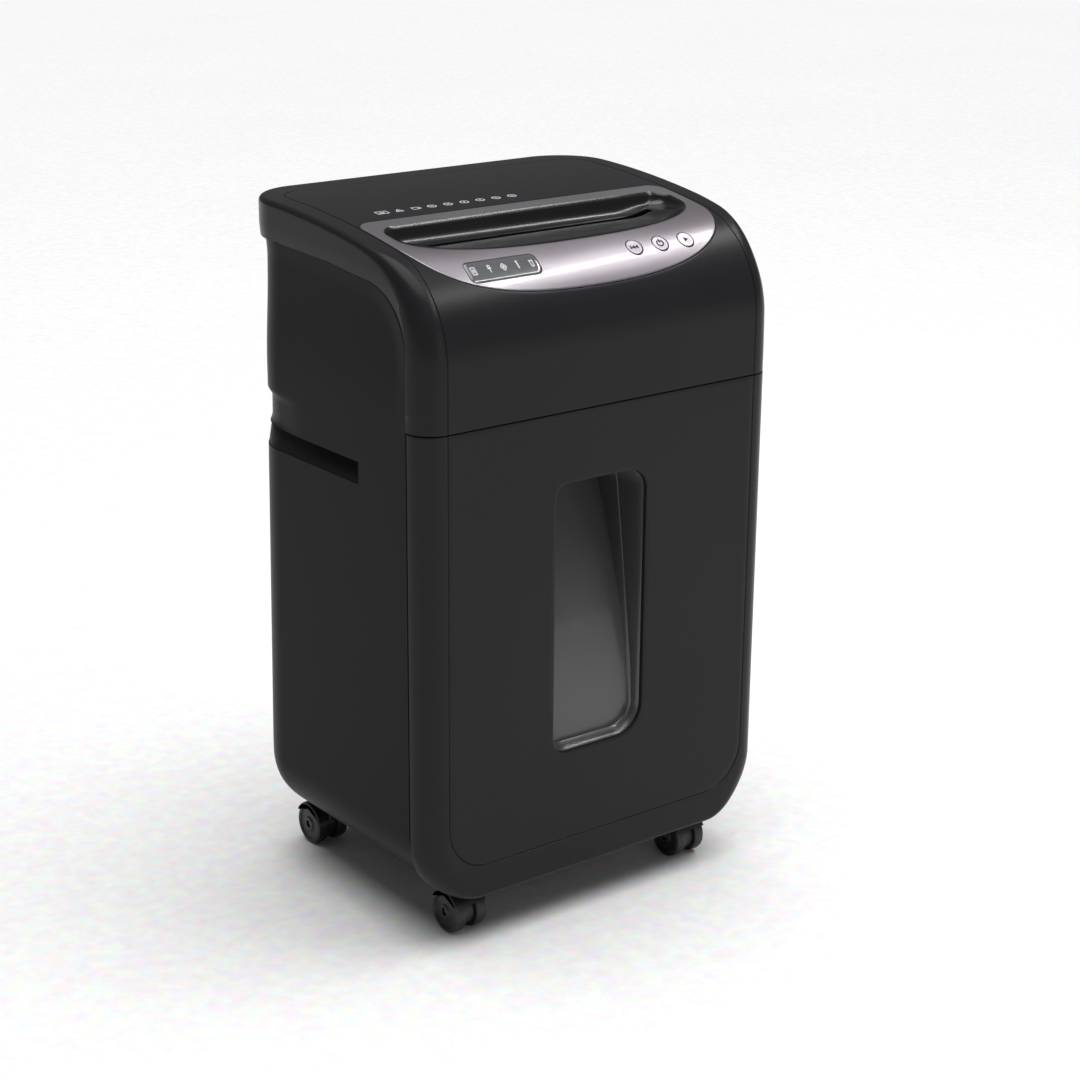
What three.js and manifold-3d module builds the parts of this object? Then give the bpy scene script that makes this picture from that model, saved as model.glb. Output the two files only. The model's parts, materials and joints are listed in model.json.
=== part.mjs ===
// Paper shredder on casters, with a pull-out bin under a cutting head.
// Millimetres. x runs left to right, y runs back from the front face, z runs up from the floor.
// The outer group moves the origin to the middle of the footprint.
import * as THREE from "three";
import { mergeVertices } from "three/addons/utils/BufferGeometryUtils.js";
import Module from "manifold-3d";

// Body
const WIDTH = 345;
const DEPTH = 262;
const BASE_Z = 40; // underside of the cabinet
const SEAM_Z = 425; // top of the bin front
const DOOR_DEPTH = 22.5; // the bin front wraps this far round the sides
const WALL = 3;
const GAP = 0.3; // between touching pieces
const PANEL_INSET = 1; // side and back panels sit this far inside the head cover
const FRONT_CORNER = 24; // upright corners, seen from above
const BACK_CORNER = 45;
const BOTTOM_CORNER = 60; // lower corners, seen from the front

// Head surface: an upright front, a round shoulder, and a gently crowned top
const SHOULDER_R = 80;
const SHOULDER_Z = 473;
const CROWN_R = 950;
const CROWN_ANGLE = THREE.MathUtils.degToRad(11);
const TRIM_TILT = THREE.MathUtils.degToRad(35); // the trim is cut square to this slope
const BUTTON_TILT = THREE.MathUtils.degToRad(39);
const BUTTON_Y = 30;
const BUTTON_X = { rewind_button: 48, power_button: 74, forward_button: 100 };
const BUTTON_R = 7.2;

// Feed slot and cutters
const SLOT_HALF = 116;
const SLOT_Y = 90;
const SLOT_W = 9;
const THROAT_FLOOR = 524;
const CUTTER_Z = 475;
const CUTTER_R = 22;
const CORE_R = 9;
const JOURNAL_R = 7;
const CUTTER_SPAN = 31.8; // between the two cutter axes
const DISC_PITCH = 14;
const DISC_W = 6.4;
const DISC_COUNT = 16;
const REAR_Y = SLOT_Y + CUTTER_SPAN / 2;
const FRONT_Y = SLOT_Y - CUTTER_SPAN / 2;
const PLATE_X = 118; // inner face of the cutter side plates
const PLATE_T = 3.5;

// Gear train, all module 1.5 but the two timing gears
const MODULE = 1.5;
const DRIVE_TEETH = 48;
const SMALL_TEETH = 16;
const LARGE_TEETH = 40;
const PINION_TEETH = 12;
const TIMING_TEETH = 20;
const IDLER_Y = REAR_Y + ((DRIVE_TEETH + SMALL_TEETH) * MODULE) / 2;
const MOTOR_Y = IDLER_Y + ((LARGE_TEETH + PINION_TEETH) * MODULE) / 2;
const MOTOR_R = 31;

// Bin and window
const BIN_HALF = 140;
const BIN_FRONT = 26;
const BIN_BACK = 246;
const BIN_FLOOR = 60.5;
const BIN_TOP = 402;
const BIN_WALL = 2.5;
const WINDOW = { x: -4, half: 45.5, low: 146, high: 369, corner: 18 };

// Grip slots in the sides
const GRIP = { front: 88, low: 370.5, high: 388.5, depth: 22 };

// Casters
const WHEEL_R = 17.5;
const WHEEL_SIDES = 18;
const TRAIL = 10;
const CASTERS = {
  front_left: { x: -116, y: 46, side: -1 },
  front_right: { x: 116, y: 46, side: -1 },
  rear_left: { x: -116, y: 228, side: 1 },
  rear_right: { x: 116, y: 228, side: 1 },
};

const BLACK = { color: 0x1c1d20, roughness: 0.45, metalness: 0.0 };
const GLOSS = { color: 0x0c0c0e, roughness: 0.15, metalness: 0.0 };
const SILVER = { color: 0x9d93a0, roughness: 0.3, metalness: 0.6 };
const SMOKE = { color: 0x3a3b3f, roughness: 0.2, metalness: 0.0 };
const STEEL = { color: 0x8f9296, roughness: 0.4, metalness: 0.9 };
const BRASS = { color: 0xb08a4a, roughness: 0.4, metalness: 0.8 };
const NYLON = { color: 0xd8d4c6, roughness: 0.5, metalness: 0.0 };
const BOARD = { color: 0x1f5a34, roughness: 0.5, metalness: 0.0 };

const X = new THREE.Vector3(1, 0, 0);
const Y = new THREE.Vector3(0, 1, 0);
const Z = new THREE.Vector3(0, 0, 1);

const wasm = await Module();
wasm.setup();

const group = new THREE.Group();
group.position.y = -DEPTH / 2;

// ---- Making and placing solids ----

function toSolid(geometry) {
  const bare = geometry.clone();
  bare.deleteAttribute("normal");
  bare.deleteAttribute("uv");
  const merged = mergeVertices(bare, 1e-4);
  const vertProperties = new Float32Array(merged.attributes.position.array);
  const triVerts = new Uint32Array(merged.index.array);
  return new wasm.Manifold(new wasm.Mesh({ numProp: 3, vertProperties, triVerts }));
}

function toGeometry(solid) {
  const mesh = solid.getMesh();
  const geometry = new THREE.BufferGeometry();
  geometry.setAttribute("position", new THREE.BufferAttribute(mesh.vertProperties, 3));
  geometry.setIndex(new THREE.BufferAttribute(mesh.triVerts, 1));
  return geometry;
}

// A shape is a solid, or a geometry that is closed already.
function addPart(name, shape, look) {
  const geometry = shape.isBufferGeometry ? shape : toGeometry(shape);
  const mesh = new THREE.Mesh(geometry, new THREE.MeshStandardMaterial(look));
  mesh.name = name;
  group.add(mesh);
}

function union(solids) {
  return solids.reduce((sum, next) => sum.add(next));
}

// ---- Outlines: lists of [across, up] points ----

function arc(across, up, radius, from, to, steps) {
  return Array.from({ length: steps + 1 }, (_, i) => {
    const angle = THREE.MathUtils.degToRad(from + ((to - from) * i) / steps);
    return [across + radius * Math.cos(angle), up + radius * Math.sin(angle)];
  });
}

function roundedBox(left, right, low, high, corner, steps = 5) {
  return [
    ...arc(right - corner, low + corner, corner, -90, 0, steps),
    ...arc(right - corner, high - corner, corner, 0, 90, steps),
    ...arc(left + corner, high - corner, corner, 90, 180, steps),
    ...arc(left + corner, low + corner, corner, 180, 270, steps),
  ];
}

function bezier(start, pullA, pullB, end, steps) {
  const points = [start, pullA, pullB, end].map(([a, b]) => new THREE.Vector2(a, b));
  return new THREE.CubicBezierCurve(...points).getPoints(steps).map((p) => [p.x, p.y]);
}

// The right half of an outline, from back to front, with its mirror image on the left.
function mirrored(half) {
  const left = half.map(([across, up]) => [-across, up]).reverse();
  return [...half, ...left.filter(([across]) => across < -1e-6)];
}

function makeShape(outline, hole) {
  const shape = new THREE.Shape(outline.map(([a, b]) => new THREE.Vector2(a, b)));
  if (hole) shape.holes.push(new THREE.Path(hole.map(([a, b]) => new THREE.Vector2(a, b))));
  return shape;
}

// ---- Prisms along the axes ----

function extrude(outline, length, right, up, along, hole) {
  const options = { depth: length, bevelEnabled: false, steps: 1 };
  const geometry = new THREE.ExtrudeGeometry(makeShape(outline, hole), options);
  return geometry.applyMatrix4(new THREE.Matrix4().makeBasis(right, up, along));
}

// Outline points are [y, z].
function prismX(outline, x0, x1, hole) {
  return toSolid(extrude(outline, x1 - x0, Y, Z, X, hole).translate(x0, 0, 0));
}

// Outline points are [x, z].
function prismY(outline, y0, y1, hole) {
  return toSolid(extrude(outline, y1 - y0, X, Z, Y.clone().negate(), hole).translate(0, y1, 0));
}

// Outline points are [x, y].
function prismZ(outline, z0, z1) {
  return toSolid(extrude(outline, z1 - z0, X, Y, Z).translate(0, 0, z0));
}

function block(x0, x1, y0, y1, z0, z1) {
  const geometry = new THREE.BoxGeometry(x1 - x0, y1 - y0, z1 - z0);
  return toSolid(geometry.translate((x0 + x1) / 2, (y0 + y1) / 2, (z0 + z1) / 2));
}

function rodX(y, z, radius, x0, x1, sides = 20) {
  return prismX(arc(y, z, radius, 0, 360 - 360 / sides, sides - 1), x0, x1);
}

function rodY(x, z, radius, y0, y1, sides = 20) {
  return prismY(arc(x, z, radius, 0, 360 - 360 / sides, sides - 1), y0, y1);
}

function rodZ(x, y, radius, z0, z1, sides = 20) {
  return prismZ(arc(x, y, radius, 0, 360 - 360 / sides, sides - 1), z0, z1);
}

// A turned piece along x: profile points are [radius, x].
function turnedX(profile, y, z, sides = 20) {
  const points = profile.map(([radius, x]) => new THREE.Vector2(radius, x));
  const geometry = new THREE.LatheGeometry(points, sides).rotateZ(-Math.PI / 2);
  return toSolid(geometry.translate(0, y, z));
}

// ---- The body's outer form, as a solid inset by a wall ----

function headSurface(inset) {
  const shoulder = arc(SHOULDER_R, SHOULDER_Z, SHOULDER_R - inset, 101, 180, 10);
  const crownY = SHOULDER_R * (1 - Math.sin(CROWN_ANGLE)) + CROWN_R * Math.sin(CROWN_ANGLE);
  const crownZ = SHOULDER_Z + (SHOULDER_R - CROWN_R) * Math.cos(CROWN_ANGLE);
  const crown = arc(crownY, crownZ, CROWN_R - inset, 90, 101, 4).slice(0, -1);
  const backEnd = [DEPTH - inset, crown[0][1]];
  return [backEnd, ...crown, ...shoulder];
}

// Height of the head surface at a distance back from the front face.
function surfaceZ(y) {
  const crownStart = SHOULDER_R * (1 - Math.sin(CROWN_ANGLE));
  if (y <= crownStart) return SHOULDER_Z + Math.sqrt(SHOULDER_R ** 2 - (SHOULDER_R - y) ** 2);
  const crownY = crownStart + CROWN_R * Math.sin(CROWN_ANGLE);
  const crownZ = SHOULDER_Z + (SHOULDER_R - CROWN_R) * Math.cos(CROWN_ANGLE);
  return crownZ + Math.sqrt(CROWN_R ** 2 - (crownY - y) ** 2);
}

function bodyForm(inset, panelInset = 0) {
  const out = inset + panelInset;
  const half = WIDTH / 2 - out;
  const side = [[inset, BASE_Z + inset], [DEPTH - out, BASE_Z + inset], ...headSurface(inset)];
  if (panelInset) side.splice(1, 2, [DEPTH - out, BASE_Z + inset], [DEPTH - out, 110],
    [DEPTH - 8 - out, SEAM_Z], [DEPTH - 5 - out, 545]);
  const plan = [
    ...arc(half - FRONT_CORNER + out, FRONT_CORNER, FRONT_CORNER - inset, -90, 0, 5),
    ...arc(half - BACK_CORNER + out, DEPTH - BACK_CORNER, BACK_CORNER - out, 0, 90, 6),
    ...arc(BACK_CORNER - half - out, DEPTH - BACK_CORNER, BACK_CORNER - out, 90, 180, 6),
    ...arc(FRONT_CORNER - half - out, FRONT_CORNER, FRONT_CORNER - inset, 180, 270, 5),
  ];
  const radius = BOTTOM_CORNER - out;
  const face = [
    ...arc(half - radius, BASE_Z + BOTTOM_CORNER, BOTTOM_CORNER - inset, -90, 0, 7)
      .map(([x, z]) => [Math.min(x, half), z]),
    [half, 600],
    [-half, 600],
    ...arc(radius - half, BASE_Z + BOTTOM_CORNER, BOTTOM_CORNER - inset, 180, 270, 7)
      .map(([x, z]) => [Math.max(x, -half), z]),
  ];
  return prismX(side, -WIDTH, WIDTH)
    .intersect(prismZ(plan, 0, 700))
    .intersect(prismY(face, -10, DEPTH + 10));
}

const coverForm = bodyForm(0);
const coverWall = coverForm.subtract(bodyForm(WALL));
const panelWall = bodyForm(0, PANEL_INSET).subtract(bodyForm(WALL, PANEL_INSET));

// Everything behind the bin front and below the cover's edge, grown by a gap.
function panelRegion(grow) {
  const edge = [
    [DOOR_DEPTH + GAP - grow, 0],
    [DOOR_DEPTH + GAP - grow, SEAM_Z],
    ...arc(82, 471, 58 + grow, 180, 90, 6),
    [130, 534 + grow],
    [DEPTH + 20, 540 + grow],
    [DEPTH + 20, 0],
  ];
  return prismX(edge, -WIDTH, WIDTH);
}

// ---- Prisms square to a slope of the head surface ----

// Plan points are [x, y] on the head surface; depths are measured square to the slope.
function slopePrism(plan, tilt, low, high) {
  const up = new THREE.Vector3(0, Math.cos(tilt), Math.sin(tilt));
  const out = new THREE.Vector3(0, -Math.sin(tilt), Math.cos(tilt));
  const flat = plan.map(([x, y]) => [x, y * up.y + surfaceZ(y) * up.z]);
  const centre = BUTTON_Y * out.y + surfaceZ(BUTTON_Y) * out.z;
  const geometry = extrude(flat, high - low, X, up, out);
  const start = out.clone().multiplyScalar(centre + low);
  return toSolid(geometry.translate(start.x, start.y, start.z));
}

function trimOutline(grow) {
  const side = 150 + grow;
  return mirrored([
    ...arc(136, 110, 14 + grow, 90, 0, 4),
    ...bezier([side, 70], [side - 1, 22 - grow], [110, 15 - grow], [0, 12.4 - grow], 12),
  ]);
}

function throatOutline(grow) {
  const side = 138.5 + grow;
  return mirrored([
    ...arc(124.5, 93, 14 + grow, 90, 0, 4),
    ...bezier([side, 82], [side - 2.5, 52 - grow], [100, 50 - grow], [0, 45.5 - grow], 10),
  ]);
}

function lensOutline(grow) {
  return roundedBox(-112 - grow, -46 + grow, 22.5 - grow, 37 + grow, 3.5 + grow, 3);
}

function buttonOutline(x, radius) {
  const tall = radius * Math.cos(BUTTON_TILT);
  return arc(0, 0, 1, 0, 345, 23).map(([a, b]) => [x + radius * a, BUTTON_Y + tall * b]);
}

// ---- Casing ----

function makeHeadCover() {
  const above = block(-WIDTH, WIDTH, -20, DEPTH + 20, SEAM_Z + GAP, 700);
  const cover = coverWall.intersect(above).subtract(panelRegion(GAP));
  addPart("head_cover", cover.subtract(slopePrism(trimOutline(GAP), TRIM_TILT, -90, 90)), BLACK);
}

function gripOutline(grow) {
  const middle = (GRIP.low + GRIP.high) / 2;
  const radius = (GRIP.high - GRIP.low) / 2 + grow;
  return [
    ...arc(GRIP.front + radius, middle, radius, 90, 270, 6),
    [DEPTH + 10, GRIP.low - grow],
    [DEPTH + 10, GRIP.high + grow],
  ];
}

function makeSidePanel(name, side) {
  const span = (a, b) => [Math.min(side * a, side * b), Math.max(side * a, side * b)];
  const zone = block(...span(120 + GAP, WIDTH), 0, DEPTH + 10, 0, 600);
  const pocketX = WIDTH / 2 - PANEL_INSET - GRIP.depth;
  const room = bodyForm(0, PANEL_INSET).intersect(zone);
  const pocket = prismX(gripOutline(BIN_WALL), ...span(pocketX - BIN_WALL, WIDTH)).intersect(room);
  const cut = prismX(gripOutline(0), ...span(pocketX, WIDTH));
  const wall = panelWall.intersect(panelRegion(0)).intersect(zone);
  addPart(name, wall.add(pocket).subtract(cut), BLACK);
}

const SCREW_PLACES = [[-108, 90], [108, 90], [-108, 515], [108, 515]];
const GLAND = { x: 90, z: 450, radius: 8 };
const BACK_FACE = DEPTH - PANEL_INSET - 8;

function makeBackPanel() {
  const zone = block(-120, 120, DEPTH - 40, DEPTH + 10, BASE_Z + WALL + GAP + 2, 600);
  const vents = Array.from({ length: 9 }, (_, row) => {
    const z = 448 + row * 8;
    return block(-70, 50, DEPTH - 30, DEPTH + 10, z, z + 3.4);
  });
  const holes = SCREW_PLACES.map(([x, z]) => rodY(x, z, 4, DEPTH - 30, DEPTH + 10, 12));
  const gland = rodY(GLAND.x, GLAND.z, GLAND.radius + GAP, DEPTH - 30, DEPTH + 10, 16);
  const wall = panelWall.intersect(panelRegion(0)).intersect(zone);
  addPart("back_panel", wall.subtract(union([...vents, ...holes, gland])), BLACK);
}

function makeScrews() {
  SCREW_PLACES.forEach(([x, z], index) => {
    const face = DEPTH - PANEL_INSET - (z > SEAM_Z ? 6.5 : 1.5);
    const screw = rodY(x, z, 3.6, face - 2, face, 12).add(rodY(x, z, 1.8, face - 12, face - 1, 8));
    addPart("back_screw_" + (index + 1), screw, STEEL);
  });
}

// The cord gland has a collar inside and outside the back panel.
function makeGland() {
  const { x, z, radius } = GLAND;
  const sleeve = rodY(x, z, radius, BACK_FACE - 14, BACK_FACE + 5, 16);
  const collar = rodY(x, z, radius + 4, BACK_FACE - 14, BACK_FACE - 4, 16);
  const bore = rodY(x, z, 3.8, BACK_FACE - 30, BACK_FACE + 20, 16);
  addPart("cord_gland", sleeve.add(collar).subtract(bore), GLOSS);
}

function makeBaseTray() {
  const zone = block(-120, 120, 0, DEPTH + 10, 0, BASE_Z + WALL + 2);
  const floor = panelWall.intersect(panelRegion(0)).intersect(zone);
  const top = BASE_Z + 18;
  const sockets = Object.values(CASTERS).map(({ x, y }) => rodZ(x, y, 12, BASE_Z + 1, top, 16)
    .intersect(block(-120, 120, 0, DEPTH, 0, 100)));
  const ribs = [-60, 0, 60].map((x) => block(x - 1.5, x + 1.5, 30, 240, BASE_Z + 1, top - 2));
  const bores = Object.values(CASTERS).map(({ x, y }) => rodZ(x, y, 4.4, 0, top - 3, 16));
  addPart("base_tray", union([floor, ...sockets, ...ribs]).subtract(union(bores)), BLACK);
}

// ---- Trim, feed throat, indicator and buttons ----

function makeTrim() {
  const ring = slopePrism(trimOutline(0), TRIM_TILT, -90, 90);
  const holes = [
    slopePrism(throatOutline(0), TRIM_TILT, -95, 95),
    slopePrism(lensOutline(0), BUTTON_TILT, -20, 20),
    ...Object.values(BUTTON_X).map((x) =>
      slopePrism(buttonOutline(x, BUTTON_R + 0.4), BUTTON_TILT, -20, 20)),
  ];
  addPart("trim_panel", coverWall.intersect(ring).subtract(union(holes)), SILVER);
}

function makeThroat() {
  const form = coverForm.intersect(slopePrism(throatOutline(-GAP), TRIM_TILT, -90, 90));
  const above = block(-WIDTH, WIDTH, 0, DEPTH, THROAT_FLOOR, 700);
  const rear = SLOT_Y + SLOT_W / 2;
  const front = SLOT_Y - SLOT_W / 2;
  const funnel = prismX([[40, 620], [40, 549], [front, 540], [rear, 540], [rear + 4, 543],
    [rear + 9, 553], [rear + 9, 620]], -134, 134);
  const rim = slopePrism(throatOutline(-3), TRIM_TILT, -90, 90);
  const slot = block(-SLOT_HALF, SLOT_HALF, front, rear, 500, 600);
  const ears = [-1, 1].map((side) => {
    const xs = [side * 2.8, side * 5.2].sort((a, b) => a - b);
    return block(...xs, 76, 84, 512, THROAT_FLOOR + 1).subtract(rodX(80, 517, 2, -8, 8, 12));
  });
  const insert = form.intersect(above).subtract(funnel.intersect(rim)).subtract(slot);
  addPart("feed_throat", union([insert, ...ears]), GLOSS);
}

function makeIndicator() {
  const lens = slopePrism(lensOutline(-GAP), BUTTON_TILT, -20, 20);
  addPart("indicator_lens", coverWall.intersect(lens), SMOKE);
}

function makeButtons() {
  Object.entries(BUTTON_X).forEach(([name, x]) => {
    const cap = slopePrism(buttonOutline(x, BUTTON_R), BUTTON_TILT, -6, 0.3);
    const stem = slopePrism(buttonOutline(x, 2), BUTTON_TILT, -10, -5);
    addPart(name, cap.add(stem), SILVER);
  });
}

function makeControlBoard() {
  const outline = roundedBox(-118, 118, 24, 38, 1, 1);
  addPart("control_board", slopePrism(outline, BUTTON_TILT, -14, -12.4), BOARD);
}

// ---- Cutting block ----

function makeDeck() {
  const plate = block(-166, 166, 27, 244, 428, 431);
  const chute = block(-112, 112, SLOT_Y - 40, SLOT_Y + 40, 400, 440);
  const room = bodyForm(WALL + 1, PANEL_INSET);
  addPart("head_deck", plate.intersect(room).subtract(chute), BLACK);
}

function makePlates() {
  const bores = (x0, x1) => [FRONT_Y, REAR_Y].map((y) => rodX(y, CUTTER_Z, 10.8, x0, x1, 20));
  const left = block(-PLATE_X - PLATE_T, -PLATE_X, 44, 228, 436, 514);
  const motorHole = rodX(MOTOR_Y, CUTTER_Z, 6, -130, -100, 16);
  const pin = rodX(IDLER_Y, CUTTER_Z, 4, -155, -PLATE_X - 1, 12);
  const holes = union([...bores(-130, -110), motorHole]);
  addPart("cutter_plate_left", left.subtract(holes).add(pin), STEEL);
  const right = block(PLATE_X, PLATE_X + PLATE_T, 44, 140, 436, 514);
  addPart("cutter_plate_right", right.subtract(union(bores(110, 130))), STEEL);
}

function makeTieRods() {
  [["tie_rod_front", 49], ["tie_rod_rear", 131]].forEach(([name, y]) => {
    addPart(name, rodX(y, 505, 4, GAP - PLATE_X, PLATE_X - GAP, 12), STEEL);
  });
}

// One turned shaft: journals at the ends and a row of discs between them.
function cutterProfile(firstDisc, leftEnd) {
  const profile = [[0, leftEnd], [JOURNAL_R, leftEnd], [JOURNAL_R, GAP - PLATE_X]];
  profile.push([CORE_R, GAP - PLATE_X]);
  for (let disc = 0; disc < DISC_COUNT; disc += 1) {
    const x = firstDisc + disc * DISC_PITCH;
    profile.push([CORE_R, x], [CUTTER_R, x], [CUTTER_R, x + DISC_W], [CORE_R, x + DISC_W]);
  }
  profile.push([CORE_R, PLATE_X - GAP], [JOURNAL_R, PLATE_X - GAP]);
  profile.push([JOURNAL_R, PLATE_X + 9], [0, PLATE_X + 9]);
  return profile;
}

const REAR_DISC = (-DISC_COUNT * DISC_PITCH) / 2 - 2;
const FRONT_DISC = REAR_DISC + DISC_PITCH / 2;

function makeCutters() {
  const rear = turnedX(cutterProfile(REAR_DISC, -143), REAR_Y, CUTTER_Z, 12);
  addPart("cutter_shaft_rear", rear, STEEL);
  const front = turnedX(cutterProfile(FRONT_DISC, -133), FRONT_Y, CUTTER_Z, 12);
  addPart("cutter_shaft_front", front, STEEL);
}

// Fingers that reach between the discs and clear the shreds off them.
function makeComb(name, side, firstDisc, shaftY) {
  const barY = shaftY + side * (CUTTER_R + 1);
  const ys = (a, b) => [Math.min(a, b), Math.max(a, b)];
  const bar = block(GAP - PLATE_X, PLATE_X - GAP, ...ys(barY, barY + side * 4), 462, 488);
  const tip = shaftY + side * (CORE_R + 1);
  const fingers = Array.from({ length: DISC_COUNT - 1 }, (_, index) => {
    const x = firstDisc + DISC_W + index * DISC_PITCH;
    return block(x + 1, x + DISC_PITCH - DISC_W - 1, ...ys(tip, barY + side), 470, 480);
  });
  addPart(name, union([bar, ...fingers]), STEEL);
}

function makeBushes() {
  const places = { front_left: [FRONT_Y, -1], front_right: [FRONT_Y, 1],
    rear_left: [REAR_Y, -1], rear_right: [REAR_Y, 1] };
  Object.entries(places).forEach(([place, [y, side]]) => {
    const ends = [side * PLATE_X, side * (PLATE_X + PLATE_T)].sort((a, b) => a - b);
    const ring = rodX(y, CUTTER_Z, 10.4, ...ends, 20);
    addPart("bush_" + place, ring.subtract(rodX(y, CUTTER_Z, 7.3, -150, 150, 20)), BRASS);
  });
}

// ---- Gears and motor ----

// Straight-flanked teeth, thin enough to run with backlash; the first tooth points along `phase`.
function gear(teeth, pitchR, y, z, x0, x1, phase, bore) {
  const module = (2 * pitchR) / teeth;
  const tip = pitchR + 0.85 * module;
  const root = pitchR - 1.15 * module;
  const pitch = (2 * Math.PI) / teeth;
  const corners = [[root, -0.27], [tip, -0.11], [tip, 0.11], [root, 0.27]];
  const outline = Array.from({ length: teeth }, (_, index) =>
    corners.map(([radius, share]) => {
      const angle = phase + (index + share) * pitch;
      return [y + radius * Math.cos(angle), z + radius * Math.sin(angle)];
    })).flat();
  const hole = bore ? arc(y, z, bore, 0, 345, 15) : undefined;
  return prismX(outline, x0, x1, hole);
}

// A tooth gap facing forward, for a gear whose partner in front points a tooth backward at it.
function gapForward(teeth) {
  return Math.PI + Math.PI / teeth;
}

function makeTimingGears() {
  const pitchR = CUTTER_SPAN / 2;
  const bore = JOURNAL_R + GAP;
  const front = gear(TIMING_TEETH, pitchR, FRONT_Y, CUTTER_Z, -132, -123, 0, bore);
  addPart("timing_gear_front", front, STEEL);
  const phase = gapForward(TIMING_TEETH);
  const rear = gear(TIMING_TEETH, pitchR, REAR_Y, CUTTER_Z, -132, -123, phase, bore);
  addPart("timing_gear_rear", rear, STEEL);
}

function makeGearTrain() {
  const radius = (teeth) => (teeth * MODULE) / 2;
  const drive = gear(DRIVE_TEETH, radius(DRIVE_TEETH), REAR_Y, CUTTER_Z, -142, -134, 0,
    JOURNAL_R + GAP);
  addPart("drive_gear", drive, STEEL);
  const small = gear(SMALL_TEETH, radius(SMALL_TEETH), IDLER_Y, CUTTER_Z, -144, -134,
    gapForward(SMALL_TEETH));
  const large = gear(LARGE_TEETH, radius(LARGE_TEETH), IDLER_Y, CUTTER_Z, -151, -143.5, 0);
  const idler = small.add(large).subtract(rodX(IDLER_Y, CUTTER_Z, 4.4, -160, -120, 16));
  addPart("reduction_gear", idler, NYLON);
  const pinion = gear(PINION_TEETH, radius(PINION_TEETH), MOTOR_Y, CUTTER_Z, -151, -143.5,
    gapForward(PINION_TEETH));
  const shaft = rodX(MOTOR_Y, CUTTER_Z, 4, -144, -104, 12);
  addPart("motor_pinion", pinion.add(shaft), STEEL);
}

function makeMotor() {
  const left = GAP - PLATE_X;
  const bore = 4.5;
  const profile = [[0, left + 16], [bore, left + 16], [bore, left], [MOTOR_R - 2, left],
    [MOTOR_R, left + 3], [MOTOR_R, left + 96], [MOTOR_R - 4, left + 100], [12, left + 100],
    [12, left + 112], [0, left + 112]];
  addPart("motor", turnedX(profile, MOTOR_Y, CUTTER_Z, 24), STEEL);
}

// ---- Electrics ----

function makePowerBoard() {
  const board = block(152, 153.6, 70, 200, 436, 506);
  const transformer = block(128, 153, 150, 186, 446, 478);
  const relay = block(134, 153, 112, 140, 446, 464);
  const capacitors = [84, 98].map((y) => rodX(y, 490, 6, 132, 153, 12));
  addPart("power_board", union([board, transformer, relay, ...capacitors]), BOARD);
}

function makeSensorLever() {
  const arm = [...arc(80, 517, 3.4, 60, 300, 8), [92.5, 517], [92.5, 519.5]];
  const lever = prismX(arm, -2.2, 2.2).add(rodX(80, 517, 1.5, -5.2, 5.2, 10));
  addPart("paper_sensor_lever", lever, NYLON);
}

const SWITCH = { x: 130, z: 419 };

function makeInterlock() {
  const { x, z } = SWITCH;
  const body = block(x - 10, x + 10, 29, 52, z - 9, 427.7);
  addPart("interlock_switch", body.subtract(rodY(x, z, 2.8, 20, 40, 12)), BLACK);
  addPart("interlock_plunger", rodY(x, z, 2.4, DOOR_DEPTH + 0.4, 37, 12), NYLON);
}

// ---- Bin ----

function windowOutline(grow) {
  const { x, half, low, high, corner } = WINDOW;
  return roundedBox(x - half - grow, x + half + grow, low - grow, high + grow, corner + grow, 5);
}

function makeBinFront() {
  const zone = block(-WIDTH, WIDTH, -10, DOOR_DEPTH, 0, SEAM_Z - GAP);
  const ledge = block(-164, 164, WALL - 1, DOOR_DEPTH, SEAM_Z - 12, SEAM_Z - GAP).intersect(coverForm);
  const hole = prismY(windowOutline(0), -10, 60);
  addPart("bin_front", coverWall.intersect(zone).add(ledge).subtract(hole), BLACK);
}

// Depth of the window tub behind the front face, shallow at the foot and deep at the top.
function tubSide(inset) {
  const floor = [[16, 100], [16, 168], [22, 204], [33, 244], [46, 283], [62, 330], [66, 400]];
  return [[-20, 100], ...floor.map(([y, z]) => [y - inset, z]), [-20, 400]];
}

function makeWindowLens() {
  const outer = prismY(windowOutline(-0.4), 0.8, 80).intersect(prismX(tubSide(0), -100, 100));
  const flange = prismY(windowOutline(5), WALL + GAP, WALL + GAP + 2);
  const inner = prismY(windowOutline(-2.6), -10, 80).intersect(prismX(tubSide(2), -100, 100));
  addPart("window_lens", outer.add(flange).subtract(inner), SMOKE);
}

function makeBucket() {
  const outer = prismZ(roundedBox(-BIN_HALF, BIN_HALF, BIN_FRONT, BIN_BACK, 14, 4), BIN_FLOOR, BIN_TOP);
  const inner = prismZ(roundedBox(BIN_WALL - BIN_HALF, BIN_HALF - BIN_WALL, BIN_FRONT + BIN_WALL,
    BIN_BACK - BIN_WALL, 14 - BIN_WALL, 4), BIN_FLOOR + BIN_WALL, BIN_TOP + 10);
  const tubHole = prismY(roundedBox(WINDOW.x - 47, WINDOW.x + 47, 200, WINDOW.high + 1.5, 4, 2), 0, 40);
  const mounts = [-1, 1].map((side) => {
    const xs = [side * 90, side * 130].sort((a, b) => a - b);
    return block(...xs, WALL + GAP, BIN_FRONT + 1, 180, 200);
  });
  addPart("bin_bucket", outer.subtract(inner).subtract(tubHole).add(union(mounts)), BLACK);
}

// ---- Casters ----

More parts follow.
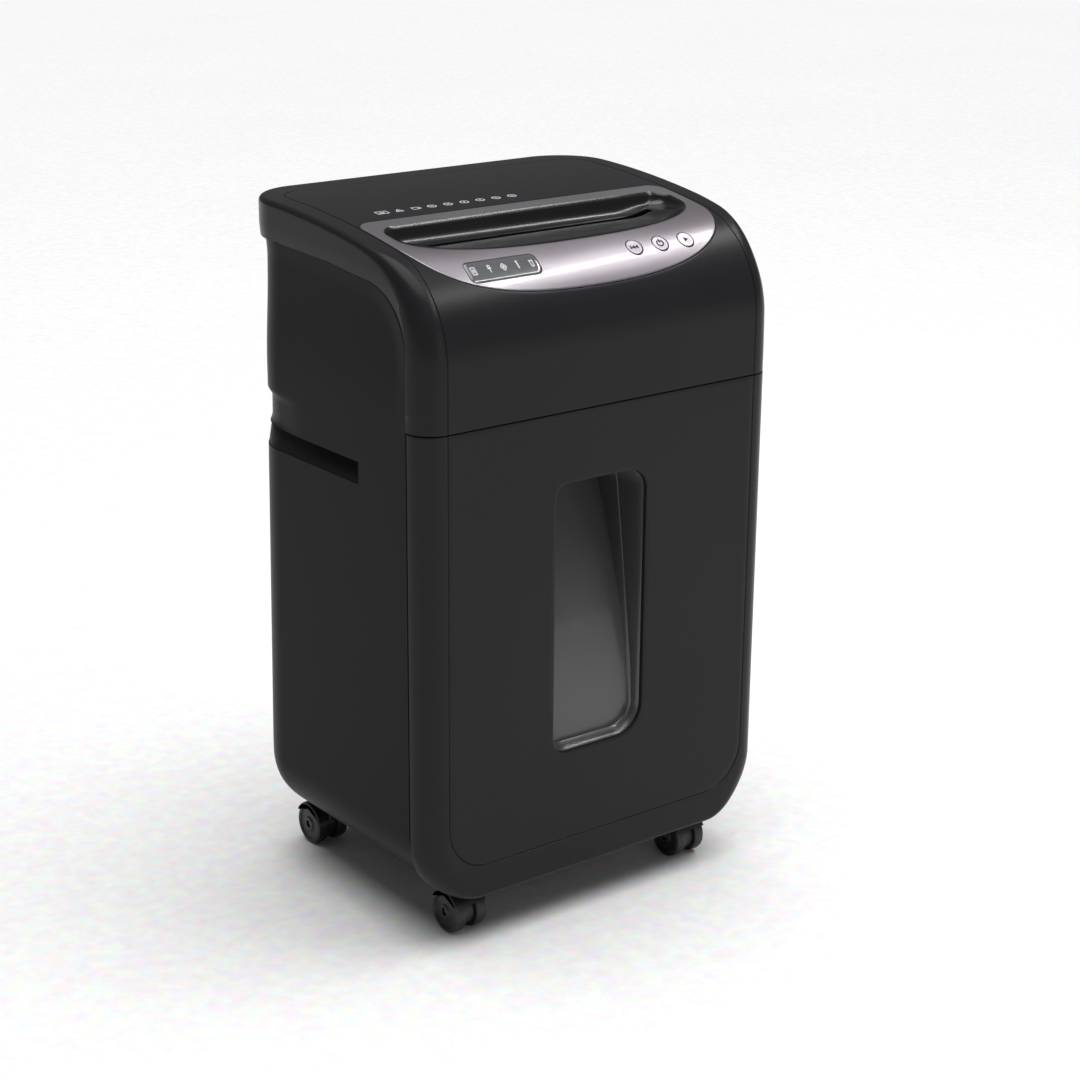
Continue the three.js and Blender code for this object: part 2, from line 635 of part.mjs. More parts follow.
// A swivelling fork with a stem, and two wheels pressed on one axle.
function makeCaster(place, { x, y, side }) {
  const axleY = y + side * TRAIL;
  const stem = rodZ(x, y, 4, 30, BASE_Z + 13.5, 12);
  const collar = rodZ(x, y, 11, 2 * WHEEL_R + 0.4, BASE_Z - 0.4, 16);
  const fork = prismX(arc(axleY, WHEEL_R, 14.5, 0, 345, 23), x - 4.4, x + 4.4);
  const neck = block(x - 4.4, x + 4.4, Math.min(y, axleY) - 5, Math.max(y, axleY) + 5, 24, 37);
  const bore = rodX(axleY, WHEEL_R, 3.3, x - 20, x + 20, 12);
  addPart("caster_fork_" + place, union([stem, collar, fork, neck]).subtract(bore), BLACK);
  addPart("caster_axle_" + place, rodX(axleY, WHEEL_R, 2.9, x - 13, x + 13, 10), STEEL);
  // A flat of the tread faces the floor.
  const tread = WHEEL_R / Math.cos(Math.PI / WHEEL_SIDES);
  const profile = [[3.3, 4.9], [tread, 4.9], [tread, 13], [tread - 2, 15], [3.3, 15], [3.3, 4.9]];
  const points = profile.map(([radius, along]) => new THREE.Vector2(radius, along));
  [["a", -1], ["b", 1]].forEach(([letter, hand]) => {
    const wheel = new THREE.LatheGeometry(points, WHEEL_SIDES, Math.PI / WHEEL_SIDES);
    wheel.rotateZ((hand * -Math.PI) / 2).translate(x, axleY, WHEEL_R);
    addPart("caster_wheel_" + letter + "_" + place, wheel, BLACK);
  });
}

makeHeadCover();
makeSidePanel("side_panel_left", -1);
makeSidePanel("side_panel_right", 1);
makeBackPanel();
makeScrews();
makeGland();
makeBaseTray();
makeTrim();
makeThroat();
makeIndicator();
makeButtons();
makeControlBoard();
makeDeck();
makePlates();
makeTieRods();
makeCutters();
makeComb("stripper_comb_rear", 1, REAR_DISC, REAR_Y);
makeComb("stripper_comb_front", -1, FRONT_DISC, FRONT_Y);
makeBushes();
makeTimingGears();
makeGearTrain();
makeMotor();
makePowerBoard();
makeSensorLever();
makeInterlock();
makeBinFront();
makeWindowLens();
makeBucket();
Object.entries(CASTERS).forEach(([place, caster]) => makeCaster(place, caster));

export default group;
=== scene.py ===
"""Paper shredder: the fine surfaces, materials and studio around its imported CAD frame."""
import json
import math
from types import SimpleNamespace

import bmesh
import bpy
import numpy as np
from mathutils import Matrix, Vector


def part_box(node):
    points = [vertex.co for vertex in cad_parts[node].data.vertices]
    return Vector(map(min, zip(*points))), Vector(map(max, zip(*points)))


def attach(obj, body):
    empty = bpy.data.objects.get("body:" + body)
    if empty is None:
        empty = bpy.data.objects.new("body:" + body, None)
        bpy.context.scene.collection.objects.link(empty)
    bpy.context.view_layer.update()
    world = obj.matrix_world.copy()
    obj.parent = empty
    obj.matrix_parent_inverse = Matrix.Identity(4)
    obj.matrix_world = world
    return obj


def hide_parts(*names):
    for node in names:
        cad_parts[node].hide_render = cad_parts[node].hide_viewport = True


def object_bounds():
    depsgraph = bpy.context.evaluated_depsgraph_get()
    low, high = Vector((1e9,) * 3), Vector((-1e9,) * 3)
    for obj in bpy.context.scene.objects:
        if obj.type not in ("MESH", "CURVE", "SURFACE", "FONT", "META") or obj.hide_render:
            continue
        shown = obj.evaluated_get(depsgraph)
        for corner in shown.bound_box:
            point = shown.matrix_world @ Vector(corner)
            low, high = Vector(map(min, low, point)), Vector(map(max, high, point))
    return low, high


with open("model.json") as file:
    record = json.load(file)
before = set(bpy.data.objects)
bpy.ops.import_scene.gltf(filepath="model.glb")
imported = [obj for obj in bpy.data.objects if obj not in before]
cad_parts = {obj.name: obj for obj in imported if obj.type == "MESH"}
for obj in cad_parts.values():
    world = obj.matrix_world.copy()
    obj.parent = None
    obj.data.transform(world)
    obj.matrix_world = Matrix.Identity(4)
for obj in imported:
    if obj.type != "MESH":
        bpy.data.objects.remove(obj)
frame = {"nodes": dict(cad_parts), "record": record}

bl_info = {
    "name": "Paper Shredder Surfaces",
    "version": (1, 0, 0),
    "blender": (4, 5, 0),
    "location": "3D View > Sidebar > Shredder",
    "description": "Builds the casing, trim, window, buttons and casters of a paper shredder",
    "category": "Add Mesh",
}

# Sizes here are in millimetres: x across, y back from the front face, z up from the floor.
MM = 0.001
CAD_LOW, CAD_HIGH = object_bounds()
HALF = CAD_HIGH.x / MM
DEPTH = (CAD_HIGH.y - CAD_LOW.y) / MM
BASE_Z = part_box("base_tray")[0].z / MM
SEAM_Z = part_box("head_cover")[0].z / MM
DOOR_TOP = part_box("bin_front")[1].z / MM - 0.5
DOOR_DEPTH = 22.5
SHOULDER_R = 80.0
SHOULDER_Z = 473.0
CROWN_R = 950.0
CROWN_ANGLE = math.radians(11)
CROWN_Y = SHOULDER_R * (1 - math.sin(CROWN_ANGLE)) + CROWN_R * math.sin(CROWN_ANGLE)
CROWN_Z = SHOULDER_Z + (SHOULDER_R - CROWN_R) * math.cos(CROWN_ANGLE)
BACK_CORNER = 49.0
BOTTOM_CORNER = 54.0
GROOVE_HALF = 150.2
HEAD_GROOVE_BACK, HEAD_GROOVE_CORNER = 233.0, 22.0
DOOR_GROOVE_LOW, DOOR_GROOVE_CORNER = 70.0, 38.0
PANEL_HALF = HALF - 0.3
PANEL_INNER = 120.3
GRIP_LOW, GRIP_HIGH, GRIP_FRONT = 370.0, 388.0, 87.0
BUTTON_Y = 30.0
BUTTON_X = (48.0, 74.0, 100.0)
BUTTON_TILT = math.radians(39)
WHEEL_R = 17.5
PLACES = ("front_left", "front_right", "rear_left", "rear_right")


# ---- Settings ----

def length(name, words, default):
    """A size: its default is given in millimetres and kept in metres, as the sidebar shows it."""
    return bpy.props.FloatProperty(
        name=name, description=words, default=default * MM, min=0.0, precision=5, unit="LENGTH")


def colour(name, words, default):
    """A linear colour."""
    return bpy.props.FloatVectorProperty(
        name=name, description=words, default=default, size=3, min=0.0, max=1.0, subtype="COLOR")


class ShredderSizes(bpy.types.PropertyGroup):
    """Sizes that shape the fine surfaces."""
    wall: length("Wall", "Thickness of the moulded casing", 2.6)
    groove_width: length("Groove width", "Width of the hairline groove", 1.3)
    groove_depth: length("Groove depth", "Depth of the hairline groove", 0.7)
    crisp_edge: length("Crisp edge", "Edge radius on the shoulder and top", 4.5)
    soft_edge: length("Soft edge", "Edge radius across the front corners", 20.0)
    side_recess: length("Side recess", "Step in from the cover to the side", 2.2)
    button_radius: length("Button radius", "Radius of a button cap", 7.0)
    button_rise: length("Button rise", "Height of a cap over the trim", 0.45)
    mark_size: length("Mark size", "Height of a printed mark on the cover", 5.2)


class ShredderColours(bpy.types.PropertyGroup):
    """Colours of the finishes."""
    casing: colour("Casing", "Satin black of the moulded casing", (0.0165, 0.0166, 0.0182))
    gloss: colour("Gloss", "Polished black of the feed throat", (0.004, 0.004, 0.005))
    trim: colour("Trim", "Silver paint of the trim", (0.275, 0.252, 0.275))
    lens: colour("Lens", "Smoked indicator lens", (0.105, 0.105, 0.110))
    window: colour("Window", "Smoked window tub", (0.052, 0.052, 0.054))
    print: colour("Print", "White print of the marks", (0.62, 0.62, 0.64))
    ink: colour("Ink", "Black symbols on the buttons", (0.012, 0.012, 0.014))
    steel: colour("Steel", "Cutters, plates and rods", (0.42, 0.43, 0.45))
    brass: colour("Brass", "Bushes", (0.62, 0.43, 0.18))
    nylon: colour("Nylon", "Gears and levers", (0.66, 0.63, 0.54))
    board: colour("Board", "Circuit boards", (0.018, 0.10, 0.045))
    caster: colour("Caster", "Caster wheels and forks", (0.012, 0.012, 0.013))


def sizes():
    """The size settings in millimetres, read when a piece is built."""
    group = bpy.context.scene.shredder_sizes
    return SimpleNamespace(**{name: getattr(group, name) / MM for name in ShredderSizes.__annotations__})


def colours():
    """The colour settings, read when the finishes are made."""
    return bpy.context.scene.shredder_colours


# ---- Outlines: rows of points in a plane ----

def arc(cx, cy, radius, start, end, count):
    """Points on a circle about (cx, cy) between two angles in degrees."""
    a = np.radians(np.linspace(start, end, count))
    return np.stack([cx + radius * np.cos(a), cy + radius * np.sin(a)], -1)


def bezier(start, pull_a, pull_b, end, count):
    """A cubic curve: each point is the four given ones weighted by the Bernstein terms."""
    t = np.linspace(0, 1, count)[:, None]
    p = [np.array(q, float) for q in (start, pull_a, pull_b, end)]
    return (1 - t) ** 3 * p[0] + 3 * t * (1 - t) ** 2 * p[1] + 3 * t * t * (1 - t) * p[2] + t ** 3 * p[3]


def mirrored(half):
    """A closed outline from its right half and that half's mirror image."""
    left = half[::-1] * [-1, 1]
    return np.concatenate([half, left])


def spread(outline, count):
    """A closed outline resampled to points at equal distances along it."""
    ring = np.concatenate([outline, outline[:1]])
    run = np.concatenate([[0], np.cumsum(np.linalg.norm(np.diff(ring, axis=0), axis=1))])
    at = np.linspace(0, run[-1], count, endpoint=False)
    return np.stack([np.interp(at, run, ring[:, k]) for k in (0, 1)], -1)


def rounded(x0, x1, y0, y1, radii, count=9):
    """A rectangle whose four corners, from the top right clockwise, have their own radii."""
    tr, br, bl, tl = radii
    return np.concatenate([
        arc(x1 - tr, y1 - tr, tr, 90, 0, count), arc(x1 - br, y0 + br, br, 0, -90, count),
        arc(x0 + bl, y0 + bl, bl, 270, 180, count), arc(x0 + tl, y1 - tl, tl, 180, 90, count)])


def on_rays(outline, centre, angles):
    """Where rays from a centre cross a closed outline: its radius is read off by angle."""
    rel = spread(outline, 4000) - centre
    turn = np.arctan2(rel[:, 1], rel[:, 0])
    radius = np.interp(angles, turn, np.hypot(rel[:, 0], rel[:, 1]), period=2 * math.pi)
    return centre + radius[:, None] * np.stack([np.cos(angles), np.sin(angles)], -1)


def smooth(x, low, high):
    """0 below low, 1 above high, and the cubic 3t^2 - 2t^3 between."""
    t = np.clip((np.asarray(x, float) - low) / (high - low), 0, 1)
    return t * t * (3 - 2 * t)


# ---- The head's surface, unrolled: x across, s along the profile from the seam, d inwards ----

FRONT_RUN = SHOULDER_Z - SEAM_Z
SHOULDER_RUN = SHOULDER_R * (math.pi / 2 - CROWN_ANGLE)
BACK_ANGLE = math.acos((DEPTH - 0.6 - CROWN_Y) / CROWN_R)
CROWN_RUN = CROWN_R * (math.pi / 2 + CROWN_ANGLE - BACK_ANGLE)
S_TURNS = [0, FRONT_RUN, FRONT_RUN + SHOULDER_RUN, FRONT_RUN + SHOULDER_RUN + CROWN_RUN]
S_ANGLES = [math.pi, math.pi, math.pi / 2 + CROWN_ANGLE, BACK_ANGLE]


def head(x, s, d):
    """A point of the head: along a straight front, a shoulder arc and a crown arc, d inwards."""
    x, s, d = np.broadcast_arrays(*(np.asarray(v, float) for v in (x, s, d)))
    a = np.interp(s, S_TURNS, S_ANGLES)
    crown = s > S_TURNS[2]
    cy = np.where(crown, CROWN_Y, SHOULDER_R)
    cz = np.where(crown, CROWN_Z, SHOULDER_Z)
    radius = np.where(crown, CROWN_R, SHOULDER_R)
    y = cy + (radius - d) * np.cos(a)
    z = cz + (radius - d) * np.sin(a)
    z = np.where(s < FRONT_RUN, SEAM_Z + s, z)
    return np.stack([x, y, z], -1)


S_TABLE = np.linspace(FRONT_RUN, S_TURNS[3], 3000)
Y_TABLE = head(0, S_TABLE, 0)[:, 1]


def along(y):
    """How far along the profile the head's surface reaches a distance y behind the front face."""
    return np.interp(y, Y_TABLE, S_TABLE)


def plan_to_head(plan):
    """Outline points (x, y) laid on the unrolled head as (x, s)."""
    return np.stack([plan[:, 0], along(plan[:, 1])], -1)


def crease(y):
    """Height of the cover's lower edge on the side: a 58 mm arc in front, straight lines behind."""
    bow = 471 + np.sqrt(np.maximum(58.0 ** 2 - (82 - np.clip(y, 24, 82)) ** 2, 0))
    rise = np.interp(y, [82, 130, DEPTH + 20], [529, 534, 540])
    return np.where(y < 82, bow, rise)


def taper(z):
    """How far each side leans in towards the top of the head, an eased step in height."""
    return 3.2 * smooth(z, 440, 550)


def step_in(into, z, deep):
    """How far the side lies inside the cover: a slow step across the crease, deeper towards the top."""
    return deep * smooth(z, 430, 505) * smooth(into, -13, 16)


def crease_depth(s):
    """Distance from the surface in to the cover's lower edge, found by stepping inwards."""
    steps = np.linspace(0, 40, 401)
    p = head(0, np.asarray(s, float)[:, None], steps[None, :])
    y, z = p[..., 1], p[..., 2]
    edge = np.interp(z, [SEAM_Z, 471], [22.8, 24])
    inside = np.where(z < 471, y > edge, (y > 24) & (z < crease(y)))
    return steps[np.argmax(inside, axis=1)]


# ---- Meshes ----

def at_row(points):
    """Millimetres from the front face, to metres in the row frame."""
    p = np.asarray(points, float) * MM
    p[..., 1] += CAD_LOW.y
    return p


def grid_faces(rows, cols, start):
    """Four-cornered faces between the points of a grid."""
    i = np.arange(rows * cols).reshape(rows, cols) + start
    return np.stack([i[:-1, :-1], i[:-1, 1:], i[1:, 1:], i[1:, :-1]], -1).reshape(-1, 4)


def raw_mesh(name, patches, inward=False):
    """One mesh from several grids: shared points are merged and faces are turned outwards."""
    verts, faces, start = [], [], 0
    for patch in patches:
        rows, cols = patch.shape[:2]
        verts.append(at_row(patch).reshape(-1, 3))
        faces.append(grid_faces(rows, cols, start))
        start += rows * cols
    mesh = bpy.data.meshes.new(name)
    mesh.from_pydata(np.concatenate(verts), [], np.concatenate(faces))
    work = bmesh.new()
    work.from_mesh(mesh)
    bmesh.ops.remove_doubles(work, verts=work.verts, dist=5e-6)
    bmesh.ops.dissolve_degenerate(work, edges=work.edges, dist=2e-6)
    bmesh.ops.recalc_face_normals(work, faces=work.faces)
    if inward:
        bmesh.ops.reverse_faces(work, faces=work.faces)
    work.to_mesh(mesh)
    work.free()
    return mesh


def baked(obj):
    """Applies an object's modifiers to its mesh."""
    graph = bpy.context.evaluated_depsgraph_get()
    mesh = bpy.data.meshes.new_from_object(obj.evaluated_get(graph))
    obj.modifiers.clear()
    obj.data = mesh
    return mesh


def make(name, patches, finish, body, replaced=(), inward=False, wall=0.0, bevel=0.0,
         cutters=(), angle=32):
    """A finished piece: grids joined, given a wall, cut, edges eased, shaded, and set to ride."""
    mesh = raw_mesh(name, patches, inward)
    obj = bpy.data.objects.new(name, mesh)
    bpy.context.collection.objects.link(obj)
    if wall:
        shell = obj.modifiers.new("wall", "SOLIDIFY")
        shell.thickness = wall * MM
        shell.offset = -1.0
    for cutter in cutters:
        cut = obj.modifiers.new("cut", "BOOLEAN")
        cut.operation = "DIFFERENCE"
        cut.solver = "MANIFOLD"
        cut.object = cutter
    if bevel:
        ease = obj.modifiers.new("ease", "BEVEL")
        ease.width = bevel * MM
        ease.segments = 2
        ease.limit_method = "ANGLE"
        ease.angle_limit = math.radians(50)
    mesh = baked(obj)
    for cutter in cutters:
        bpy.data.objects.remove(cutter)
    mesh.name = name
    mesh.shade_smooth()
    mesh.set_sharp_from_angle(angle=math.radians(angle))
    mesh.materials.clear()
    mesh.materials.append(finish)
    if replaced:
        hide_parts(*replaced)
    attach(obj, body)
    return obj


def tool(name, patches):
    """A closed solid that cuts another piece, and is removed afterwards."""
    obj = bpy.data.objects.new(name, raw_mesh(name, patches))
    bpy.context.collection.objects.link(obj)
    return obj


def closed(loops):
    """Loops stacked into a grid, each joined to its own start."""
    g = np.stack(loops)
    return np.concatenate([g, g[:, :1]], axis=1)


def capped(loops):
    """Closed loops with both ends drawn together to a point, so that they bound a solid."""
    first = np.repeat(loops[0].mean(0)[None], len(loops[0]), 0)
    last = np.repeat(loops[-1].mean(0)[None], len(loops[-1]), 0)
    return closed([first, *loops, last])


# ---- Finishes ----

def finish(name, base, rough, grain=900.0, bump=0.08, blotch=9.0, shade=0.18, metallic=0.0,
           coat=0.0, stretch=(1, 1, 1), specular=0.5, transmission=0.0, wear=0.06):
    """A procedural finish: slow blotches shift the colour and roughness, fine grain gives the bump."""
    mat = bpy.data.materials.new(name)
    mat.use_nodes = True
    nodes, links = mat.node_tree.nodes, mat.node_tree.links
    nodes.clear()
    out = nodes.new("ShaderNodeOutputMaterial")
    shader = nodes.new("ShaderNodeBsdfPrincipled")
    links.new(shader.outputs["BSDF"], out.inputs["Surface"])
    shader.inputs["Metallic"].default_value = metallic
    shader.inputs["Coat Weight"].default_value = coat
    shader.inputs["Coat Roughness"].default_value = 0.08
    shader.inputs["Specular IOR Level"].default_value = specular
    shader.inputs["Transmission Weight"].default_value = transmission
    place = nodes.new("ShaderNodeTexCoord")
    turn = nodes.new("ShaderNodeMapping")
    turn.inputs["Scale"].default_value = stretch
    links.new(place.outputs["Object"], turn.inputs["Vector"])
    slow = nodes.new("ShaderNodeTexNoise")
    slow.inputs["Scale"].default_value = blotch
    slow.inputs["Detail"].default_value = 3.0
    links.new(place.outputs["Object"], slow.inputs["Vector"])
    fine = nodes.new("ShaderNodeTexNoise")
    fine.inputs["Scale"].default_value = grain
    fine.inputs["Detail"].default_value = 2.0
    links.new(turn.outputs["Vector"], fine.inputs["Vector"])
    ramp = nodes.new("ShaderNodeValToRGB")
    dark = [c * (1 - shade) for c in base]
    light = [min(c * (1 + shade), 1.0) for c in base]
    ramp.color_ramp.interpolation = "EASE"
    ramp.color_ramp.elements[0].position = 0.15
    ramp.color_ramp.elements[0].color = (*dark, 1)
    ramp.color_ramp.elements[1].position = 0.85
    ramp.color_ramp.elements[1].color = (*light, 1)
    links.new(slow.outputs["Fac"], ramp.inputs["Fac"])
    speck = nodes.new("ShaderNodeMix")
    speck.data_type = "RGBA"
    speck.blend_type = "MULTIPLY"
    speck.inputs["Factor"].default_value = 0.25
    links.new(ramp.outputs["Color"], speck.inputs["A"])
    links.new(fine.outputs["Color"], speck.inputs["B"])
    links.new(speck.outputs["Result"], shader.inputs["Base Color"])
    level = nodes.new("ShaderNodeMapRange")
    level.interpolation_type = "SMOOTHSTEP"
    level.inputs["From Min"].default_value = 0.15
    level.inputs["From Max"].default_value = 0.85
    level.inputs["To Min"].default_value = max(rough - wear, 0.02)
    level.inputs["To Max"].default_value = rough + wear
    links.new(slow.outputs["Fac"], level.inputs["Value"])
    links.new(level.outputs["Result"], shader.inputs["Roughness"])
    rise = nodes.new("ShaderNodeBump")
    rise.inputs["Strength"].default_value = bump
    rise.inputs["Distance"].default_value = 0.0002
    links.new(fine.outputs["Fac"], rise.inputs["Height"])
    links.new(rise.outputs["Normal"], shader.inputs["Normal"])
    mat.diffuse_color = (*base, 1)
    return mat


FINISHES = {}


def finishes():
    """Every finish, made once from the colour settings."""
    if FINISHES:
        return FINISHES
    c = colours()
    FINISHES.update(
        casing=finish("satin_casing", c.casing, 0.31, grain=1400, bump=0.06, specular=0.13,
                      wear=0.03, shade=0.08),
        # Painted shade: the sides get a darker copy of the casing, with less specular and a little more
        # roughness, so they read darker than the front.
        sides=finish("shaded_side_casing", c.casing, 0.36, grain=1400, bump=0.06, specular=0.035,
                     wear=0.03, shade=0.08),
        gloss=finish("polished_black", c.gloss, 0.235, grain=500, bump=0.01, specular=0.55, wear=0.03),
        trim=finish("silver_paint", c.trim, 0.33, grain=2600, bump=0.05, metallic=0.72, shade=0.06,
                    coat=0.25, wear=0.03),
        lens=finish("smoked_lens", c.lens, 0.16, grain=300, bump=0.01, coat=0.5, wear=0.03),
        window=finish("smoked_window", c.window, 0.34, grain=420, bump=0.02, coat=0.3, wear=0.05),
        print=finish("white_print", c.print, 0.5, grain=3000, bump=0.03, shade=0.08),
        ink=finish("black_ink", c.ink, 0.6, grain=3000, bump=0.03, specular=0.1),
        steel=finish("ground_steel", c.steel, 0.34, grain=260, bump=0.12, metallic=0.95,
                     stretch=(1, 9, 9), shade=0.14),
        brass=finish("bush_brass", c.brass, 0.36, grain=500, bump=0.06, metallic=0.95),
        nylon=finish("natural_nylon", c.nylon, 0.48, grain=700, bump=0.06, shade=0.07),
        board=finish("green_board", c.board, 0.42, grain=380, bump=0.10, blotch=60, shade=0.35),
        caster=finish("caster_nylon", c.caster, 0.42, grain=900, bump=0.10),
    )
    return FINISHES


SLOT_FINISH = {
    "black_plastic": "casing", "black_gloss": "gloss", "silver_trim": "trim", "smoke_lens": "lens",
    "steel": "steel", "brass": "brass", "nylon": "nylon", "circuit_board": "board",
    "caster_plastic": "caster",
}


# ---- The U-shaped bands that the head and the bin front share ----

SIDE_STEPS, CORNER_STEPS, BACK_STEPS, SEAM_STEPS = 150, 18, 90, 110


def u_loop(half, back, radius):
    """An open U from the right end of the seam round the far edge to the left: points and outward."""
    side = np.linspace(0, back - radius, SIDE_STEPS, endpoint=False)
    turn = np.radians(np.linspace(0, 90, CORNER_STEPS))
    across = np.linspace(half - radius, radius - half, BACK_STEPS + 2)[1:-1]
    right = np.stack([np.full(SIDE_STEPS, half), side], -1)
    corner = np.stack([half - radius + radius * np.cos(turn), back - radius + radius * np.sin(turn)], -1)
    far = np.stack([across, np.full(BACK_STEPS, back)], -1)
    out = np.concatenate([
        np.tile([1.0, 0.0], (SIDE_STEPS, 1)), np.stack([np.cos(turn), np.sin(turn)], -1),
        np.tile([0.0, 1.0], (BACK_STEPS, 1)), np.stack([-np.cos(turn), np.sin(turn)], -1)[::-1],
        np.tile([-1.0, 0.0], (SIDE_STEPS, 1))])
    points = np.concatenate([right, corner, far, (corner * [-1, 1])[::-1], (right * [-1, 1])[::-1]])
    return points, out


def field_patch(place, u, hole, centre, rim, rings):
    """The face inside the U: loops blended by angle from a hole's outline out to the U and the seam.
    rim lists (outline, depth) pairs down the hole's edge."""
    half = u[0, 0]
    seam = np.linspace(-half, half, SEAM_STEPS + 2)[1:-1]
    border = np.concatenate([u, np.stack([seam, np.zeros(SEAM_STEPS)], -1)])
    rel = border - centre
    angles = np.arctan2(rel[:, 1], rel[:, 0])
    loops = [place(*on_rays(outline, centre, angles).T, depth) for outline, depth in rim]
    inner = on_rays(hole, centre, angles)
    loops += [place(*(inner + (border - inner) * t).T, 0.0) for t in np.linspace(0, 1, rings)]
    return closed(loops)


def groove_loops(place, half, back, radius):
    """A round-bottomed groove that runs along the U."""
    s = sizes()
    loops = []
    for t in np.linspace(0, 1, 9):
        u, _ = u_loop(half + t * s.groove_width, back + t * s.groove_width, radius + t * s.groove_width)
        loops.append(place(*u.T, s.groove_depth * math.sin(math.pi * t) ** 0.8 if 0 < t < 1 else 0.0))
    return loops


def lean(place, u, out, step):
    """The taper at each point of the U, on its sides only, and none on a flat front."""
    z = place(*u.T, 0.0)[:, 2]
    return taper(z) * np.abs(out[:, 0]) * (1.0 if step else 0.0)


def edge_loops(place, back, radius, across, deep, stop, step):
    """The rounded outer edge, an ellipse quarter, then the side wall down to its end, stepping in."""
    u, out = u_loop(HALF, back, radius)
    loops = []
    for a in np.linspace(0, math.pi / 2, 10):
        p = u - out * (lean(place, u, out, step) + across * (1 - math.sin(a)))[:, None]
        loops.append(place(*p.T, deep * (1 - math.cos(a))))
    for t in np.linspace(0, 1, 16)[1:]:
        d = deep + (stop - deep) * t
        p = u - out * lean(place, u, out, step)[:, None]
        if step:
            z = place(*u.T, d)[:, 2]
            p = p - out * step_in(d - stop, z, step)[:, None]
        loops.append(place(*p.T, d))
    if step:
        loops.append(place(*(p - out * 3.0).T, stop))
    return loops


# ---- Outlines on the head ----

def trim_outline(grow):
    """The trim in plan: a straight back with round corners and a front that bellies forwards."""
    side = 149.0 + grow
    half = np.concatenate([
        arc(135, 110, 14 + grow, 90, 0, 14),
        bezier((side, 70), (side - 1, 22 - grow), (110, 12.4 - grow), (0, 12.4 - grow), 60)])
    return mirrored(half)


def throat_outline(grow):
    """The opening of the feed throat, nearly parallel to the trim."""
    side = 138.5 + grow
    half = np.concatenate([
        arc(124.5, 93, 14 + grow, 90, 0, 14),
        bezier((side, 82), (side - 2.5, 52 - grow), (88, 45.5 - grow), (0, 45.5 - grow), 50)])
    return mirrored(half)


def lens_outline(grow):
    """The indicator lens in plan: a rectangle with quarter-circle corners."""
    return rounded(-112 - grow, -46 + grow, 22.3 - grow, 37.2 + grow, [4.2 + grow] * 4)


def disc_outline(x, radius, count=72):
    """A round button's outline in plan, shortened by the slope it lies on."""
    ring = arc(0, 0, radius, 0, 360, count + 1)[:-1]
    return ring * [1, math.cos(BUTTON_TILT)] + [x, BUTTON_Y]


def laid(plan, depth):
    """An outline in plan, laid on the head's surface at a depth."""
    p = plan_to_head(plan)
    return head(p[:, 0], p[:, 1], depth)


# ---- Operators ----

class SHREDDER_OT_camera(bpy.types.Operator):
    """Place the camera in front of the left corner, a little above the object"""
    bl_idname = "shredder.camera"
    bl_label = "Camera"

    def execute(self, context):
        data = bpy.data.cameras.new("camera")
        data.lens = 77.3
        data.sensor_width = 36.0
        data.shift_x = 0.0574
        data.shift_y = 0.0046
        camera = bpy.data.objects.new("camera", data)
        context.collection.objects.link(camera)
        yaw, pitch = math.radians(36.396), math.radians(18.595)
        look = Vector((math.sin(yaw) * math.cos(pitch), math.cos(yaw) * math.cos(pitch), -math.sin(pitch)))
        camera.location = (-1.0975, -1.4521, 0.8879)
        camera.rotation_mode = "QUATERNION"
        camera.rotation_quaternion = look.to_track_quat("-Z", "Y")
        context.scene.camera = camera
        return {"FINISHED"}


class SHREDDER_OT_studio(bpy.types.Operator):
    """Lay a pale floor, light the world softly and hang three soft lamps"""
    bl_idname = "shredder.studio"
    bl_label = "Studio"

    def execute(self, context):
        scene = context.scene
        scene.view_settings.view_transform = "Standard"
        side = 30.0
        mesh = bpy.data.meshes.new("floor")
        mesh.from_pydata([(-side, -side, 0), (side, -side, 0), (side, side, 0), (-side, side, 0)], [],
                         [(0, 1, 2, 3)])
        floor = bpy.data.objects.new("floor", mesh)
        context.collection.objects.link(floor)
        paper = finish("pale_floor", (0.93, 0.93, 0.93), 0.9, grain=80, bump=0.0, blotch=1.5, shade=0.01,
                       specular=0.0)
        mesh.materials.append(paper)
        world = bpy.data.worlds.new("studio")
        world.use_nodes = True
        world.node_tree.nodes["Background"].inputs["Color"].default_value = (1.0, 1.0, 1.0, 1.0)
        world.node_tree.nodes["Background"].inputs["Strength"].default_value = 0.16
        scene.world = world
        sun = bpy.data.lights.new("sky_lamp", "SUN")
        sun.energy = 3.1
        sun.angle = math.radians(62)
        sky = bpy.data.objects.new("sky_lamp", sun)
        context.collection.objects.link(sky)
        lamps = [
            ("shoulder_lamp", (1.15, -0.75, 2.05), (0.0, -0.08, 0.53), 1.9, 0.12, 17.0),
            ("front_lamp", (0.4, -3.0, 1.0), (0.0, -0.1, 0.3), 1.6, 1.2, 6.0),
        ]
        for name, place, aim, wide, tall, power in lamps:
            data = bpy.data.lights.new(name, "AREA")
            data.shape = "RECTANGLE"
            data.size = wide
            data.size_y = tall
            data.energy = power
            lamp = bpy.data.objects.new(name, data)
            lamp.location = place
            lamp.rotation_euler = (Vector(aim) - Vector(place)).to_track_quat("-Z", "Y").to_euler()
            context.collection.objects.link(lamp)
        return {"FINISHED"}


class SHREDDER_OT_finishes(bpy.types.Operator):
    """Give every CAD part the procedural finish of its material slot"""
    bl_idname = "shredder.finishes"
    bl_label = "Finishes"

    def execute(self, context):
        found = finishes()
        for sub in frame["record"]["subparts"]:
            obj = frame["nodes"][sub["node"]]
            obj.data.materials.clear()
            obj.data.materials.append(found[SLOT_FINISH[sub["material_slot"]]])
        return {"FINISHED"}


